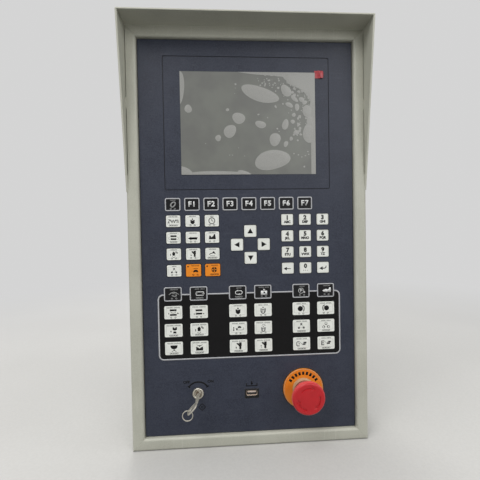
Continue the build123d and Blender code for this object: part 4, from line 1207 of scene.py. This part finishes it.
def makeBlade(look):
    # The blade and the shaft: one grooved cross-section carried through the stations, stretched between their edges
    half, groove = look["bladeThickness"], look["groove"]
    section = np.array([(0, -half), (0.22, -half), (0.27, -groove), (0.42, -groove), (0.47, -half), (1, -half),
                        (1, half), (0.8, half), (0.75, groove), (0.6, groove), (0.55, half), (0, half)])
    out, low, high = np.array(look["stations"]).T[:, :, None]
    aside = low + (high - low) * section[None, :, 0]
    points = keyPlane(out, aside, section[:, 1])
    bladePiece = addPiece("keyBlade", points, barFaces(len(out), len(section)), "keyMetal", "lock", "key_metal")
    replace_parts(bladePiece, "key")


makeBow(keyLook)
makeBlade(keyLook)

# Split ring of the key: two turns of flat wire side by side
ringLook = {
    "turns": 1.85, "half": (0.5, 0.28), "pitch": 0.6, "steps": 150, "sides": 10, "start": 0.6,
    # where on the way the wire steps over to the second turn, and for how long
    "stepShare": (0.46, 0.08),
}


def makeSplitRing(look):
    # A flattened wire carried along a flat helix: the angle runs on over nearly two turns while y steps back
    low, high = extent("key_ring")
    middle = (low + high) / 2
    radius = (high[0] - low[0]) / 2 - look["half"][0]
    along = np.linspace(0, 1, look["steps"])[:, None]
    wire = np.linspace(0, fullTurn, look["sides"], endpoint=False)[None, :]
    angle = look["start"] + along * look["turns"] * fullTurn
    step = np.clip((along - look["stepShare"][0]) / look["stepShare"][1], 0, 1)
    out = radius + look["half"][0] * np.cos(wire)
    points = gridPoints(middle[0] + out * np.cos(angle),
                        middle[1] + look["half"][1] * np.sin(wire) + look["pitch"] * (step - 0.5),
                        middle[2] + out * np.sin(angle))
    piece = addPiece("splitRing", points, barFaces(look["steps"], look["sides"]), "keyMetal", "ring", "key_metal")
    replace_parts(piece, "key_ring")


makeSplitRing(ringLook)

# Rear: pan-head screws that hold the cover on the lips of the walls, and the welds of the neck
rearLook = {
    "screwInset": 9.0, "screwRows": (-248, -124, 0, 124, 248), "screwColumns": (-70, 70),
    "headRadius": 4.0, "headHeight": 2.3, "headEdge": 0.5, "headPower": 0.6, "footInset": 0.2,
    "slotHalf": 0.5, "slotReach": 2.1, "slotDepth": 1.2, "slotSlope": 0.3, "slotFrom": 0.4,
    "neckCorner": 6.0, "beadRadius": 2.3, "ripple": 0.14, "rippleLength": 2.6, "beadSteps": 520, "beadSides": 10,
}


def makeScrews(look):
    # Domed head: the radius closes as a cosine while the height rises as a sine; a cross is sunk where a point
    # is near one of the two middle lines
    high = extent("rear_cover")[1]
    side, foot = high[0] - look["screwInset"], high[2] - look["screwInset"]
    places = [(sign * side, z) for sign in (-1, 1) for z in look["screwRows"]]
    places += [(x, sign * foot) for x in look["screwColumns"] for sign in (-1, 1)]
    edge, rise = look["headEdge"], np.radians(np.linspace(0, 90, 24))
    radius = look["headRadius"] * np.append(1, np.cos(rise) ** look["headPower"])
    radius[0] -= look["footInset"]
    height = np.append(0, edge + (look["headHeight"] - edge) * np.sin(rise))
    points, faces = turned(np.stack([radius, -height], 1), (0, 0), high[1], 40)
    x, y, z = points.T / mm
    away = np.minimum(np.maximum(abs(x) - look["slotHalf"], abs(z) - look["slotReach"]),
                      np.maximum(abs(z) - look["slotHalf"], abs(x) - look["slotReach"]))
    sunk = look["slotDepth"] * np.clip(0.5 - away / look["slotSlope"], 0, 1) * (y > high[1] + look["slotFrom"])
    points[:, 1] -= mm * sunk
    heads = [points + (x * mm, 0, z * mm) for x, z in places]
    allFaces = np.concatenate([faces + index * len(points) for index in range(len(places))])
    addPiece("coverScrews", np.concatenate(heads), allFaces.tolist(), "zinc", "housing", "plate_metal")


def makeWeld(name, level, look):
    # A bead carried round the neck's rounded square: its radius swells once in every ripple length
    corners = roundedLoop(*fromFront("mount_neck")[1], look["neckCorner"], 7)
    corners = np.concatenate([corners, corners[:1]])
    run = np.append(0, np.cumsum(np.linalg.norm(np.diff(corners, axis=0), axis=1)))
    along = np.linspace(0, run[-1], look["beadSteps"], endpoint=False)
    path = np.stack([np.interp(along, run, corners[:, axis]) for axis in (0, 1)], 1)
    turn = np.linspace(0, fullTurn, look["beadSides"], endpoint=False)
    reach = look["beadRadius"] * (1 - look["ripple"] * abs(np.sin(np.pi * along / look["rippleLength"])))[:, None]
    x, z = (path[:, axis, None] + reach * np.cos(turn) * loopNormals(path)[:, axis, None] for axis in (0, 1))
    addPiece(name, gridPoints(x, level + reach * np.sin(turn), z), ringFaces(len(path), len(turn)), "housingPaint",
             "housing", "housing_paint", sharp=60)


makeScrews(rearLook)
for name, corner in zip(("neckWeldFront", "neckWeldRear"), extent("mount_neck")):
    makeWeld(name, corner[1], rearLook)
print("rear screws and welds made")

# Camera at the photograph's place and angle, a little wider so that the whole panel shows
view = {
    "place": (-0.0357, -0.5398, 0.0060), "forward": (0.0585, 0.9981, -0.0197), "up": (0.0183, 0.0186, 0.9997),
    "lens": 23.7, "sensor": 36, "nearest": 0.01,
}
forward, up = Vector(view["forward"]).normalized(), Vector(view["up"]).normalized()
right = forward.cross(up).normalized()
up = right.cross(forward)
camera = inScene("camera", bpy.data.cameras.new("camera"))
camera.matrix_world = Matrix.Translation(view["place"]) @ Matrix((right, up, -forward)).transposed().to_4x4()
camera.data.lens = view["lens"]
camera.data.sensor_width = view["sensor"]
camera.data.clip_start = view["nearest"]
bpy.context.scene.camera = camera

# A pale floor that fades into a pale surrounding, a strong soft lamp at the upper left front, weaker ones above, at
# the right front and at both sides, and one for the rear. A lamp has its place, size and power
studio = {
    "floor": {
        "colour": (192, 191, 188), "shade": (186, 185, 182), "grain": (180, 179, 176),
        "broadSize": 400, "grainSize": 3, "grainShare": 0.3, "roughness": (0.7, 0.85),
        "bumpSize": 3, "bump": 0.1, "bumpDepth": 0.1,
    },
    "bounceColour": (135, 135, 133), "reach": 40.0, "squares": 40, "fadeSpan": (0.4, 1.5), "surrounding": 0.66,
    "lamps": {
        "keyLamp": ((-0.75, -1.15, 1.4), 0.9, 13.0), "topLamp": ((-0.3, -0.5, 1.7), 0.7, 4.0),
        "sheenLamp": ((0.75, -1.4, 0.75), 0.9, 6.4), "leftLamp": ((-1.3, -0.35, 0.5), 0.6, 2.6),
        "rightLamp": ((1.3, -0.35, 0.5), 0.6, 3.4), "rearLamp": ((-0.4, 1.7, 1.0), 1.0, 16.0),
    },
    "target": (0, -0.1, 0),
}


def mathNode(tree, operation, first, second):
    return addNode(tree, "ShaderNodeMath", {0: first, 1: second}, operation=operation).outputs[0]


def makeFloor(settings, level):
    # A level sheet; rays of the camera and of reflections see its pale paint, which turns into the surrounding's
    # even brightness with the distance from the panel, and the light that it throws up on the panel is weaker
    across = np.linspace(-settings["reach"], settings["reach"], settings["squares"] + 1)
    points = np.stack(np.meshgrid(across, across, [level], indexing="ij"), -1).reshape(-1, 3)
    mesh = bpy.data.meshes.new("floor")
    mesh.from_pydata(points.tolist(), [], gridFaces(len(across), len(across))[:, ::-1].tolist())
    floor = inScene("floor", mesh)
    pale = makeFinish("floorPaint", settings["floor"])
    mesh.materials.append(pale)
    tree, shader = pale.node_tree, pale.node_tree.nodes["Principled BSDF"]
    rays = addNode(tree, "ShaderNodeLightPath").outputs
    seen = mathNode(tree, "MAXIMUM", rays["Is Camera Ray"], rays["Is Glossy Ray"])
    seen = mathNode(tree, "MAXIMUM", seen, rays["Is Transmission Ray"])
    base = shader.inputs["Base Color"]
    bounce = linearColour(*settings["bounceColour"])
    tree.links.new(blendColours(tree, seen, bounce, base.links[0].from_socket), base)
    place = addNode(tree, "ShaderNodeTexCoord").outputs["Object"]
    distance = addNode(tree, "ShaderNodeVectorMath", {0: place}, operation="LENGTH").outputs["Value"]
    near, far = settings["fadeSpan"]
    faded = addNode(tree, "ShaderNodeMapRange", {"Value": distance, "From Min": near, "From Max": far},
                    interpolation_type="SMOOTHSTEP").outputs["Result"]
    even = addNode(tree, "ShaderNodeEmission", {"Strength": settings["surrounding"]}).outputs[0]
    mixed = addNode(tree, "ShaderNodeMixShader", {
        0: mathNode(tree, "MULTIPLY", faded, seen), 1: shader.outputs[0], 2: even})
    tree.links.new(mixed.outputs[0], tree.nodes["Material Output"].inputs["Surface"])


makeFloor(studio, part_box("bottom_wall")[0].z)
world = bpy.data.worlds.new("studio")
bpy.context.scene.world = world
world.use_nodes = True
background = world.node_tree.nodes["Background"]
background.inputs["Color"].default_value = (1, 1, 1, 1)
background.inputs["Strength"].default_value = studio["surrounding"]
for name, (place, size, power) in studio["lamps"].items():
    lamp = inScene(name, bpy.data.lights.new(name, "AREA"))
    lamp.data.size = size
    lamp.data.energy = power
    lamp.location = place
    lamp.rotation_euler = (Vector(studio["target"]) - Vector(place)).to_track_quat("-Z", "Y").to_euler()
    lamp.visible_camera = False
bpy.context.scene.view_settings.view_transform = "Standard"
print("studio and camera set")

bpy.context.view_layer.update()
